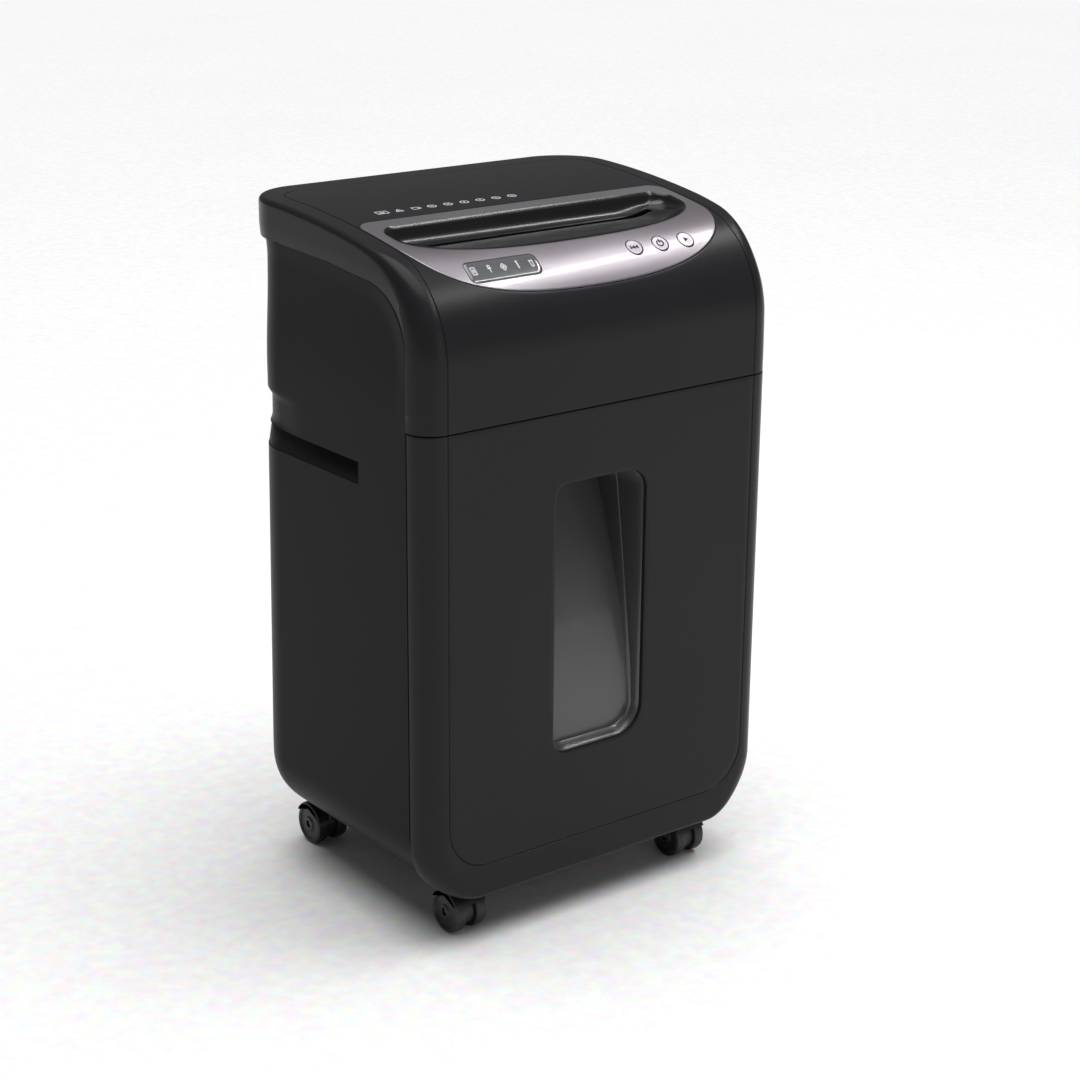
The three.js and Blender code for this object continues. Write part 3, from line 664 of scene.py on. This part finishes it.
class SHREDDER_OT_head_cover(bpy.types.Operator):
    """Build the head cover: crown, shoulder and front, its groove, edge and raised side band"""
    bl_idname = "shredder.head_cover"
    bl_label = "Head cover"

    def execute(self, context):
        s = sizes()
        far = S_TURNS[3]
        centre = np.array([0.0, along(70)])
        hole = plan_to_head(trim_outline(0.7))
        rim = [(plan_to_head(trim_outline(g)), d) for g, d in ((0.3, 2.6), (0.3, 0.45), (0.42, 0.12))]
        back = along(HEAD_GROOVE_BACK)
        turn = HEAD_GROOVE_CORNER
        u, _ = u_loop(GROOVE_HALF, back, turn)
        groove = np.stack(groove_loops(head, GROOVE_HALF, back, turn))
        patches = [field_patch(head, u, hole, centre, rim, 46), groove]
        outer, out = u_loop(HALF, far, BACK_CORNER)
        crisp = smooth(outer[:, 1], 66, 190)
        across = s.soft_edge + (s.crisp_edge - s.soft_edge) * crisp
        across = np.minimum(across, HALF - GROOVE_HALF - 2.1 - lean(head, outer, out, 1.0))
        deep = DOOR_DEPTH + (s.crisp_edge - DOOR_DEPTH) * crisp
        last, _ = u_loop(GROOVE_HALF + s.groove_width, back + s.groove_width, turn + s.groove_width)
        edge = edge_loops(head, far, BACK_CORNER, across, deep, crease_depth(outer[:, 1]), s.side_recess)
        start = outer - out * (across + lean(head, outer, out, 1.0))[:, None]
        shelf = [head(*(last + (start - last) * t).T, 0.0) for t in np.linspace(0, 1, 7)[:-1]]
        patches.append(np.stack(shelf + edge))
        make("head_cover_shell", patches, finishes()["casing"], "cabinet",
             ["head_cover"], wall=s.wall)
        return {"FINISHED"}


def door(x, s, d):
    """A point of the bin front: x across, s down from its top edge, d back from its face."""
    x, s, d = np.broadcast_arrays(*(np.asarray(v, float) for v in (x, s, d)))
    return np.stack([x, d, DOOR_TOP - s], -1)


def window_outline(grow):
    """The window's opening in (x, s): a tall rectangle with four different corner radii."""
    low, high = DOOR_TOP - 368.0, DOOR_TOP - 144.5
    radii = [25 + grow, 18 + grow, 11 + grow, 14 + grow]
    return rounded(-49.6 - grow, 40.8 + grow, low - grow, high + grow, radii, 14)


class SHREDDER_OT_bin_front(bpy.types.Operator):
    """Build the bin front: a flat face with a window, a hairline groove and soft outer edges"""
    bl_idname = "shredder.bin_front"
    bl_label = "Bin front"

    def execute(self, context):
        s = sizes()
        bottom = DOOR_TOP - BASE_Z
        back = DOOR_TOP - DOOR_GROOVE_LOW
        turn = DOOR_GROOVE_CORNER
        centre = np.array([-4.0, DOOR_TOP - 256])
        rim = [(window_outline(g), d) for g, d in ((0.0, 6.4), (0.0, 0.7), (0.2, 0.2))]
        u, _ = u_loop(GROOVE_HALF, back, turn)
        width = s.groove_width
        patches = [field_patch(door, u, window_outline(0.7), centre, rim, 26),
                   np.stack(groove_loops(door, GROOVE_HALF, back, turn))]
        outer, out = u_loop(HALF, bottom, BOTTOM_CORNER)
        sides = smooth(np.abs(out[:, 0]), 0.0, 1.0)
        across = 5.0 + (s.soft_edge - 5.0) * sides
        deep = 5.0 + (DOOR_DEPTH - 6.0) * sides
        stop = np.full(len(outer), DOOR_DEPTH - 0.7)
        last, _ = u_loop(GROOVE_HALF + width, back + width, turn + width)
        start = outer - out * across[:, None]
        shelf = [door(*(last + (start - last) * t).T, 0.0) for t in np.linspace(0, 1, 4)[:-1]]
        edge = edge_loops(door, bottom, BOTTOM_CORNER, across, deep, stop, 0.0)
        patches.append(np.stack(shelf + edge))
        make("bin_front_shell", patches, finishes()["casing"], "bin", ["bin_front"],
             wall=s.wall, bevel=0.3)
        return {"FINISHED"}


def tub_depth(z):
    """Depth of the tub's floor at a height: nearly level at the foot, then ever steeper inwards."""
    return 12.0 + 50.0 * np.clip((z - 160) / 209, 0, 1) ** 1.6


class SHREDDER_OT_window(bpy.types.Operator):
    """Build the window tub: a wall that follows the opening back to a floor, shallow at the foot"""
    bl_idname = "shredder.window"
    bl_label = "Window tub"

    def execute(self, context):
        outline = spread(window_outline(-3.0), 220)
        centre = np.array([-4.0, DOOR_TOP - 256])
        z = DOOR_TOP - outline[:, 1]
        floor = tub_depth(z)
        step = np.interp(z, [144, 200, 369], [9, 12, 35])

        def inner(grow):
            """The opening's outline, grown or shrunk, with the same number of points each time."""
            return spread(window_outline(grow), 220)

        loops = [door(*inner(2.5).T, 7.0), door(*inner(0.1).T, 7.0), door(*inner(-0.2).T, 4.6)]
        for t in np.linspace(0, 1, 6):
            loops.append(door(*inner(-0.3 - 2.0 * t).T, 4.5 + (step - 4.5) * t))
        loops.append(door(*inner(-2.9).T, step + 0.2))
        ease = 1.2
        for t in np.linspace(0, 1, 8)[1:]:
            loops.append(door(*inner(-3.1 - 1.2 * t).T, step + 0.4 + (floor - ease - step - 0.4) * t))
        for a in np.linspace(0, math.pi / 2, 6)[1:]:
            loops.append(door(*inner(-4.3 - ease * (1 - math.cos(a))).T, floor - ease * (1 - math.sin(a))))
        base = inner(-4.3 - ease)
        for t in np.linspace(0, 1, 16)[1:]:
            p = base + (centre - base) * t
            deep = tub_depth(DOOR_TOP - p[:, 1])
            loops.append(door(*p.T, deep))
        make("window_tub", [closed(loops)], finishes()["window"], "bin", ["window_lens"],
             inward=True, wall=1.6, bevel=0.15)
        return {"FINISHED"}


class SHREDDER_OT_trim(bpy.types.Operator):
    """Build the silver trim round the feed throat, with openings for the lens and buttons"""
    bl_idname = "shredder.trim"
    bl_label = "Trim"

    def execute(self, context):
        centre = np.array([0.0, along(75)])
        border = spread(plan_to_head(trim_outline(0)), 700)
        rel = border - centre
        angles = np.arctan2(rel[:, 1], rel[:, 0])

        def ring(outline, depth):
            """An outline read off along the same rays as the trim's border, at a depth."""
            return head(*on_rays(plan_to_head(outline), centre, angles).T, depth)

        loops = [ring(trim_outline(g), d) for g, d in ((0, 2.0), (0, 0.55), (-0.15, 0.15), (-0.55, -0.05))]
        first = on_rays(plan_to_head(trim_outline(-0.9)), centre, angles)
        final = on_rays(plan_to_head(throat_outline(1.0)), centre, angles)
        for t in np.linspace(0, 1, 22):
            swell = -0.05 - 0.35 * math.sin(math.pi * t)
            loops.append(head(*(first + (final - first) * t).T, swell))
        loops += [ring(throat_outline(g), d) for g, d in ((0.5, 0.05), (0.15, 0.35), (0.0, 0.9), (0.0, 3.0))]
        cutters = [tool("lens_cut", [capped([laid(lens_outline(0.35), d) for d in (-4, 8)])])]
        for x in BUTTON_X:
            outline = disc_outline(x, sizes().button_radius + 0.8)
            cutters.append(tool("button_cut", [capped([laid(outline, d) for d in (-4, 8)])]))
        make("trim_shell", [closed(loops)], finishes()["trim"], "cabinet", ["trim_panel"],
             wall=1.6, cutters=cutters)
        return {"FINISHED"}


class SHREDDER_OT_throat(bpy.types.Operator):
    """Build the feed throat: a bowl from the trim's edge down to the feed slot"""
    bl_idname = "shredder.throat"
    bl_label = "Feed throat"

    def execute(self, context):
        rim = spread(throat_outline(-0.15), 600)
        top = laid(rim, 0.5)
        slot_x = np.clip(rim[:, 0] * 116 / 136, -116, 116)
        slot_y = 90 + 4.5 * np.clip((rim[:, 1] - 84) / 10, -1, 1)
        loops = [laid(rim, 3.2), top]
        for t in np.linspace(0, 1, 40)[1:]:
            x = rim[:, 0] + (slot_x - rim[:, 0]) * t
            y = rim[:, 1] + (slot_y - rim[:, 1]) * t
            # A nearly level ramp in front of the slot, an arc rising behind it, and a dish at each end.
            behind = np.clip(y - 94.5, 0, 13.5)
            bed = 545.0 - 0.04 * (np.minimum(y, 85.5) - 46) + 14 - np.sqrt(14 ** 2 - behind ** 2)
            shallow = smooth(x, 88, 122) + smooth(-x, 120, 138)
            bed = bed + (np.minimum(top[:, 2] - 4.0, 548.0) - bed) * shallow
            drop = 1 - (1 - t) ** 6
            loops.append(np.stack([x, y, top[:, 2] + (bed - top[:, 2]) * drop], -1))
        end = loops[-1]
        for z in (539.4, 538.0, 526.0):
            loops.append(np.stack([end[:, 0], end[:, 1], np.full(len(end), z)], -1))
        make("feed_throat_shell", [closed(loops)], finishes()["gloss"], "cabinet",
             ["feed_throat"], inward=True, wall=1.4)
        return {"FINISHED"}


class SHREDDER_OT_indicator(bpy.types.Operator):
    """Build the smoked indicator lens"""
    bl_idname = "shredder.indicator"
    bl_label = "Indicator"

    def execute(self, context):
        loops = [spread(lens_outline(g), 160) for g in (0, 0, -0.2, -0.8)]
        depths = (3.0, 0.1, -0.35, -0.55)
        rings = [laid(p, d) for p, d in zip(loops, depths)]
        middle = np.array([-79.0, 29.7])
        for t in np.linspace(0, 1, 14)[1:]:
            rings.append(laid(loops[-1] + (middle - loops[-1]) * t, -0.55))
        make("indicator_cover", [closed(rings)], finishes()["lens"], "cabinet",
             ["indicator_lens"], wall=1.0)
        return {"FINISHED"}


def cap_point(x):
    """A map from a button's own plane (across, up the slope, out) to millimetres."""
    up = np.array([0, math.cos(BUTTON_TILT), math.sin(BUTTON_TILT)])
    out = np.array([0, -math.sin(BUTTON_TILT), math.cos(BUTTON_TILT)])
    origin = head(x, along(BUTTON_Y), 0.0)

    def place(p, height):
        """The origin plus across, up and out times the three unit directions."""
        p = np.asarray(p, float)
        height = np.broadcast_to(np.asarray(height, float), p.shape[:-1])
        side = np.array([1.0, 0, 0])
        return origin + p[..., :1] * side + p[..., 1:2] * up + height[..., None] * out
    return place


def ribbon(path, width):
    """A flat stroke: a path widened by half its width to each side, square to its direction."""
    path = np.asarray(path, float)
    run = np.gradient(path, axis=0)
    run /= np.linalg.norm(run, axis=1)[:, None]
    side = np.stack([-run[:, 1], run[:, 0]], -1) * width / 2
    return np.stack([path + side, path - side])


def fan(outline):
    """A filled shape: its outline drawn in to its middle."""
    outline = np.asarray(outline, float)
    ring = np.concatenate([outline, outline[:1]])
    return np.stack([ring, np.repeat(outline.mean(0)[None], len(ring), 0)])


def triangle(x, y, size, turn):
    """Three corners of a triangle, pointing right at 0 degrees."""
    return arc(x, y, size, turn, turn + 360, 4)[:-1]


BUTTON_MARKS = {
    "rewind": [fan(triangle(2.1, 0, 1.7, 180)), fan(triangle(-0.5, 0, 1.7, 180)),
               ribbon([(-2.9, -1.4), (-2.9, 1.4)], 0.7)],
    "power": [ribbon(arc(0, 0, 2.4, 122, 418, 28), 0.85), ribbon([(0, 0.4), (0, 3.2)], 0.85)],
    "forward": [fan(triangle(0.1, 0, 2.1, 0))],
}


def ring_mark(rx, ry, width=0.16, x=0.0, y=0.0):
    """An oval stroke in a mark's own square, one unit high."""
    a = np.linspace(0, 2 * math.pi, 25)
    return ribbon(np.stack([x + rx * np.cos(a), y + ry * np.sin(a)], -1), width)


def bar(x0, y0, x1, y1, width=0.16):
    """A straight stroke from one point to another."""
    return ribbon(np.linspace((x0, y0), (x1, y1), 3), width)


def frame_mark(rx, ry, width=0.14):
    """A rectangle stroke."""
    corners = [(-rx, -ry), (rx, -ry), (rx, ry), (-rx, ry), (-rx, -ry)]
    return [bar(*a, *b, width) for a, b in zip(corners[:-1], corners[1:])]


LENS_MARKS = [
    frame_mark(0.38, 0.5) + [bar(-0.12, -0.3, -0.12, 0.25), bar(0.12, -0.3, 0.12, 0.25)],
    [bar(0, -0.5, 0, 0.2), bar(-0.3, 0.05, 0.3, 0.05), ring_mark(0.2, 0.2, y=0.32)],
    [bar(-0.5, 0, 0, 0.5), bar(0, 0.5, 0.5, 0), bar(0.5, 0, 0, -0.5), bar(0, -0.5, -0.5, 0),
     fan(arc(0, 0, 0.2, 0, 360, 17)[:-1])],
    [bar(0, -0.5, 0, 0.5, 0.24), bar(-0.2, 0.5, 0.2, 0.5)],
    [bar(-0.35, 0.3, 0.35, 0.3), bar(-0.25, 0.3, -0.2, -0.5), bar(0.25, 0.3, 0.2, -0.5),
     bar(-0.2, -0.5, 0.2, -0.5)],
]
SHEET_MARK = frame_mark(0.85, 0.5) + [bar(-0.5, 0, 0.5, 0), bar(-0.5, -0.22, 0.2, -0.22)]
WARNING_MARK = [bar(-0.55, -0.4, 0, 0.45), bar(0, 0.45, 0.55, -0.4), bar(0.55, -0.4, -0.55, -0.4),
                bar(0, -0.2, 0, 0.15)]
CARD_MARK = frame_mark(0.45, 0.4) + [bar(0.75, -0.35, 0.75, 0.35)]


def struck_oval(turn):
    """An oval with a bar across it, turned a little from one mark to the next."""
    x, y = 0.3 * math.cos(turn), 0.25 * math.sin(turn)
    return [ring_mark(0.62, 0.45), bar(-x, -y, x, y)]


COVER_MARKS = [SHEET_MARK, WARNING_MARK, CARD_MARK]
COVER_MARKS += [struck_oval(turn) for turn in (0.0, 0.6, 1.2, 1.8, 2.4, 3.0)]


def printed(name, marks, places, height, depth):
    """Flat marks printed on the head's surface: each is scaled, moved to its place and laid down."""
    patches = []
    for strokes, (x, y) in zip(marks, places):
        for stroke in strokes:
            flat = stroke * [height, height] + [x, y]
            p = plan_to_head(flat.reshape(-1, 2))
            patches.append(head(p[:, 0], p[:, 1], depth).reshape(*stroke.shape[:2], 3))
    make(name, patches, finishes()["print"], "cabinet", wall=0.12)


class SHREDDER_OT_marks(bpy.types.Operator):
    """Print the plain symbols on the indicator lens and on the cover behind the trim"""
    bl_idname = "shredder.marks"
    bl_label = "Printed marks"

    def execute(self, context):
        size = sizes().mark_size
        spots = [(x, 30.0) for x in (-105.8, -91.2, -78.4, -65.3, -52.4)]
        printed("lens_marks", LENS_MARKS, spots, size, -0.66)
        spots = [(-111.0 + 15.57 * k, 141.0) for k in range(len(COVER_MARKS))]
        printed("cover_marks", COVER_MARKS, spots, size * 1.15, -0.06)
        return {"FINISHED"}


class SHREDDER_OT_buttons(bpy.types.Operator):
    """Build the three round buttons and their symbols"""
    bl_idname = "shredder.buttons"
    bl_label = "Buttons"

    def execute(self, context):
        s = sizes()
        for (name, marks), x in zip(BUTTON_MARKS.items(), BUTTON_X):
            place = cap_point(x)
            body = name + "_button"
            ring = arc(0, 0, 1, 0, 360, 73)[:-1]
            profile = [(0.3, -5.0), (1.0, -5.0), (1.0, s.button_rise - 0.35), (0.985, s.button_rise - 0.12),
                       (0.95, s.button_rise), (0.9, s.button_rise + 0.02), (0.6, s.button_rise - 0.06),
                       (0.3, s.button_rise - 0.1), (0.0, s.button_rise - 0.11)]
            loops = [place(ring * r * s.button_radius, h) for r, h in profile]
            loops.insert(0, place(ring * 0.0, -5.0))
            make(name + "_cap", [closed(loops)], finishes()["trim"], body, [body])
            lift = s.button_rise + 0.12
            patches = [place(m * 1.2, lift) for m in marks]
            make(name + "_symbol", patches, finishes()["ink"], body, wall=0.25)
        return {"FINISHED"}


def below_crease(y, z):
    """Distance from the cover's lower edge into the side panel."""
    bow = 58.0 - np.hypot(82 - y, z - 471)
    ahead = y - np.interp(z, [SEAM_Z, 471], [22.8, 24])
    return np.where(z < 471, ahead, np.where(y < 82, bow, crease(y) - z))


def back_line(z):
    """How far back the rear face stands at a height: upright low down, leaning in to a waist."""
    return np.interp(z, [110, SEAM_Z, 545], [DEPTH, DEPTH - 8, DEPTH - 3]) - 1.0


class SHREDDER_OT_side_panels(bpy.types.Operator):
    """Build both side panels: a straight side and round back corner, with a grip slot"""
    bl_idname = "shredder.side_panels"
    bl_label = "Side panels"

    def execute(self, context):
        s = sizes()
        low = BASE_Z + 0.3
        rows = np.concatenate([
            low + (100 - low) * (1 - np.cos(np.linspace(0, math.pi / 2, 22))), np.linspace(110, 360, 26),
            [366, 368.6, 369.3, 369.7, 370.0, 370.15, 370.5, 373, 376, 379, 382, 385, 387.5, 387.85, 388.0,
             388.3, 388.9, 391],
            np.linspace(394, 418, 11), [421, 425]])
        above = np.linspace(0, 1, 34)[1:]
        fixed = np.concatenate([[0], np.linspace(25, 84, 22), [86, 86.7, 87.0, 87.15, 87.6, 88.5, 90],
                                np.linspace(93, 200, 40)])
        turn = np.linspace(0, 90, 26)
        cols = len(fixed) + 6 + len(turn) + 8
        z = np.zeros((len(rows) + len(above), cols))
        z[:len(rows)] = rows[:, None]
        radius = BACK_CORNER + 3.0
        # The plan at every height: straight, corner, then the flat back up to the back panel.
        reach = np.concatenate([fixed, np.full(cols - len(fixed), 230.0)])
        top = crease(np.clip(reach, 24, DEPTH)) - 0.04
        z[len(rows):] = rows[-1] + (top[None, :] - rows[-1]) * above[:, None]
        back = back_line(z)
        front = np.interp(z[:, 0], [SEAM_Z, 426, 471], [23.8, 22.8, 24])
        y = np.zeros_like(z)
        x = np.full_like(z, PANEL_HALF)
        y[:, :len(fixed)] = np.maximum(fixed[None, :], front[:, None])
        straight_end = back[:, :1] - radius
        for k in range(6):
            share_k = (k + 1) / 7
            y[:, len(fixed) + k] = (200 + (straight_end - 200) * share_k)[:, 0]
        a = np.radians(turn)
        first = len(fixed) + 6
        y[:, first:first + len(turn)] = straight_end + radius * np.sin(a)[None, :]
        x[:, first:first + len(turn)] = PANEL_HALF - radius + radius * np.cos(a)[None, :]
        flat = first + len(turn)
        for k in range(8):
            x[:, flat + k] = PANEL_HALF - radius + (PANEL_INNER - (PANEL_HALF - radius)) * (k + 1) / 8
            y[:, flat + k] = back[:, flat + k]
        weight = np.clip((x - PANEL_INNER) / (PANEL_HALF - PANEL_INNER), 0, 1)
        # The lower corner is rounded, the upper part steps in under the cover, the corner has a recess.
        rounding = BOTTOM_CORNER - np.sqrt(BOTTOM_CORNER ** 2 - np.clip(100 - z, 0, BOTTOM_CORNER) ** 2)
        x -= weight * np.minimum(rounding, PANEL_HALF - PANEL_INNER)
        into = below_crease(np.minimum(y, 216), z)
        seam = np.maximum(1 - smooth(z, 424, 431), smooth(into, 0, 13))
        x += 0.3 * weight * (1 - seam) - weight * step_in(into, z, s.side_recess)
        x -= weight * taper(z)
        waist = 5.0 * (smooth(z, 383, 393) - smooth(z, 410, 418.5)) * smooth(y, 165, 232)
        x -= weight * waist
        # The grip: deep under its upper edge at the front, running out towards the back corner.
        fade = 1 - smooth(y, 110, 240)
        slope = np.clip((z - GRIP_LOW + 1) / (GRIP_HIGH - GRIP_LOW + 1), 0, 1)
        floor = (0.6 + (6.0 + 12.0 * fade) * slope) * (1 - 0.6 * smooth(y, 212, 248))
        inside = (z > GRIP_LOW + 0.05) & (z < GRIP_HIGH - 0.05) & (y > GRIP_FRONT + 0.05)
        x = np.where(inside, x - weight * floor, x)
        # Both panels take the darker side copy of the casing, which is painted shade for the sides.
        for name, side in (("left", -1), ("right", 1)):
            patch = np.stack([side * x, y, z], -1)
            make("side_shell_" + name, [patch], finishes()["sides"], "cabinet",
                 ["side_panel_" + name], wall=2.4, angle=40)
        return {"FINISHED"}


class SHREDDER_OT_deck(bpy.types.Operator):
    """Build the shelf between head and bin, its rear corners rounded inside the side panels"""
    bl_idname = "shredder.deck"
    bl_label = "Head deck"

    def execute(self, context):
        low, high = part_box("head_deck")
        front, rear = (low.y - CAD_LOW.y) / MM, (high.y - CAD_LOW.y) / MM
        half, bottom, top = high.x / MM, low.z / MM, high.z / MM
        centre = np.array([0.0, 92.0])
        angles = np.linspace(-math.pi, math.pi, 361)[:-1]
        chute = on_rays(rounded(-112, 112, 50, 130, [3.0] * 4), centre, angles)
        rim = on_rays(rounded(-half, half, front, rear, [BACK_CORNER, 3, 3, BACK_CORNER]), centre, angles)
        loops = [(chute, bottom), (rim, bottom), (rim, top), (chute, top), (chute, bottom)]
        patch = closed([np.column_stack([p, np.full(len(p), z)]) for p, z in loops])
        make("deck_plate", [patch], finishes()["casing"], "cabinet", ["head_deck"])
        return {"FINISHED"}


def turned(profile, centre, count=64):
    """A surface of revolution about an axis along x: profile points are (radius, x)."""
    a = np.linspace(0, 2 * math.pi, count + 1)[:-1]
    loops = []
    for radius, x in profile:
        loops.append(np.stack([np.full(count, x + centre[0]), centre[1] + radius * np.cos(a),
                               centre[2] + radius * np.sin(a)], -1))
    return closed(loops)


class SHREDDER_OT_casters(bpy.types.Operator):
    """Build the four casters: hooded forks, axles and twin wheels"""
    bl_idname = "shredder.casters"
    bl_label = "Casters"

    def execute(self, context):
        black, steel = finishes()["caster"], finishes()["steel"]
        for place in PLACES:
            low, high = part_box("caster_axle_" + place)
            middle = (low + high) / 2
            centre = np.array([middle.x, middle.y - CAD_LOW.y, middle.z]) / MM
            for letter, hand in (("a", -1), ("b", 1)):
                profile = [(3.3, 5.0), (16.2, 5.0), (17.1, 5.5), (WHEEL_R, 6.6), (WHEEL_R, 12.6),
                           (17.1, 14.0), (16.0, 14.7), (14.2, 14.9), (13.4, 14.3), (12.9, 13.6),
                           (8.0, 13.4), (6.4, 13.9), (5.6, 14.8), (4.2, 15.0), (3.3, 14.9), (3.3, 5.0)]
                patch = turned([(r, hand * x) for r, x in profile], centre, 72)
                node = f"caster_wheel_{letter}_{place}"
                make(f"wheel_{letter}_{place}", [patch], black, "caster_wheels_" + place,
                     [node], angle=38)
            axle = [(0, -13), (2.4, -13), (2.9, -12.6), (2.9, 12.6), (2.4, 13), (0, 13)]
            make("axle_" + place, [turned(axle, centre, 32)], steel, "caster_wheels_" + place,
                 ["caster_axle_" + place], angle=38)
            make_fork(place, centre, black)
        return {"FINISHED"}


def make_fork(place, centre, finish_used):
    """A fork: a centre web, a hood arched over both wheels, and a stem with a round collar."""
    front = place.startswith("front")
    toward = 1.0 if front else -1.0
    stem_y = centre[1] + toward * 10.0
    # The hood's section runs round the wheels, thick at the top and thin at both ends.
    a = np.radians(np.linspace(28, 152, 40))
    inner, outer = 18.1, 19.5
    across = np.array([-15.2, -14.6, -13.0, 0.0, 13.0, 14.6, 15.2])
    drop = np.array([1.6, 0.5, 0.0, 0.0, 0.0, 0.5, 1.6])
    rows = []
    for x, fall in zip(across, drop):
        up = np.stack([centre[1] + (outer - fall) * np.cos(a), centre[2] + (outer - fall) * np.sin(a)], -1)
        down = np.stack([centre[1] + inner * np.cos(a), centre[2] + inner * np.sin(a)], -1)[::-1]
        ring = np.concatenate([up, down])
        rows.append(np.concatenate([np.full((len(ring), 1), centre[0] + x), ring], 1))
    hood = capped(rows)
    web_a = np.radians(np.linspace(0, 360, 49))[:-1]
    web = []
    for x, r in ((-4.4, 13.6), (-4.0, 14.2), (4.0, 14.2), (4.4, 13.6)):
        web.append(np.stack([np.full(48, centre[0] + x), centre[1] + r * np.cos(web_a),
                             centre[2] + r * np.sin(web_a)], -1))
    neck_ring = rounded(-4.2, 4.2, -12.0, 12.0, [2.0] * 4, 5)
    neck = [np.stack([centre[0] + neck_ring[:, 0], stem_y - toward * 3 + neck_ring[:, 1] * 0.9,
                      np.full(len(neck_ring), z)], -1) for z in (24.0, 37.6)]
    stem_a = np.radians(np.linspace(0, 360, 49))[:-1]
    stem = [np.stack([centre[0] + r * np.cos(stem_a), stem_y + r * np.sin(stem_a), np.full(48, z)], -1)
            for r, z in ((10.2, 35.6), (11.0, 36.2), (11.0, 39.0), (10.4, 39.6), (4.0, 39.6), (4.0, 53.4))]
    make("fork_" + place, [hood, capped(web), capped(neck), capped(stem)], finish_used,
         "caster_fork_" + place, ["caster_fork_" + place], angle=38)


STAGES = (
    SHREDDER_OT_camera, SHREDDER_OT_studio, SHREDDER_OT_finishes, SHREDDER_OT_head_cover,
    SHREDDER_OT_bin_front, SHREDDER_OT_window, SHREDDER_OT_trim, SHREDDER_OT_throat,
    SHREDDER_OT_indicator, SHREDDER_OT_marks, SHREDDER_OT_buttons, SHREDDER_OT_side_panels,
    SHREDDER_OT_deck,
    SHREDDER_OT_casters,
)


class SHREDDER_PT_sidebar(bpy.types.Panel):
    """Lists the sizes, the colours and one button per piece"""
    bl_idname = "SHREDDER_PT_sidebar"
    bl_label = "Paper shredder"
    bl_space_type = "VIEW_3D"
    bl_region_type = "UI"
    bl_category = "Shredder"

    def draw(self, context):
        for group in (context.scene.shredder_sizes, context.scene.shredder_colours):
            box = self.layout.box()
            for name in group.__annotations__:
                box.prop(group, name)
        for stage in STAGES:
            self.layout.operator(stage.bl_idname)


CLASSES = (ShredderSizes, ShredderColours, *STAGES, SHREDDER_PT_sidebar)


def register():
    for cls in CLASSES:
        bpy.utils.register_class(cls)
    bpy.types.Scene.shredder_sizes = bpy.props.PointerProperty(type=ShredderSizes)
    bpy.types.Scene.shredder_colours = bpy.props.PointerProperty(type=ShredderColours)


def unregister():
    del bpy.types.Scene.shredder_colours
    del bpy.types.Scene.shredder_sizes
    for cls in reversed(CLASSES):
        bpy.utils.unregister_class(cls)


def main():
    register()
    for stage in STAGES:
        group, name = stage.bl_idname.split(".")
        getattr(getattr(bpy.ops, group), name)()


if __name__ == "__main__":
    main()
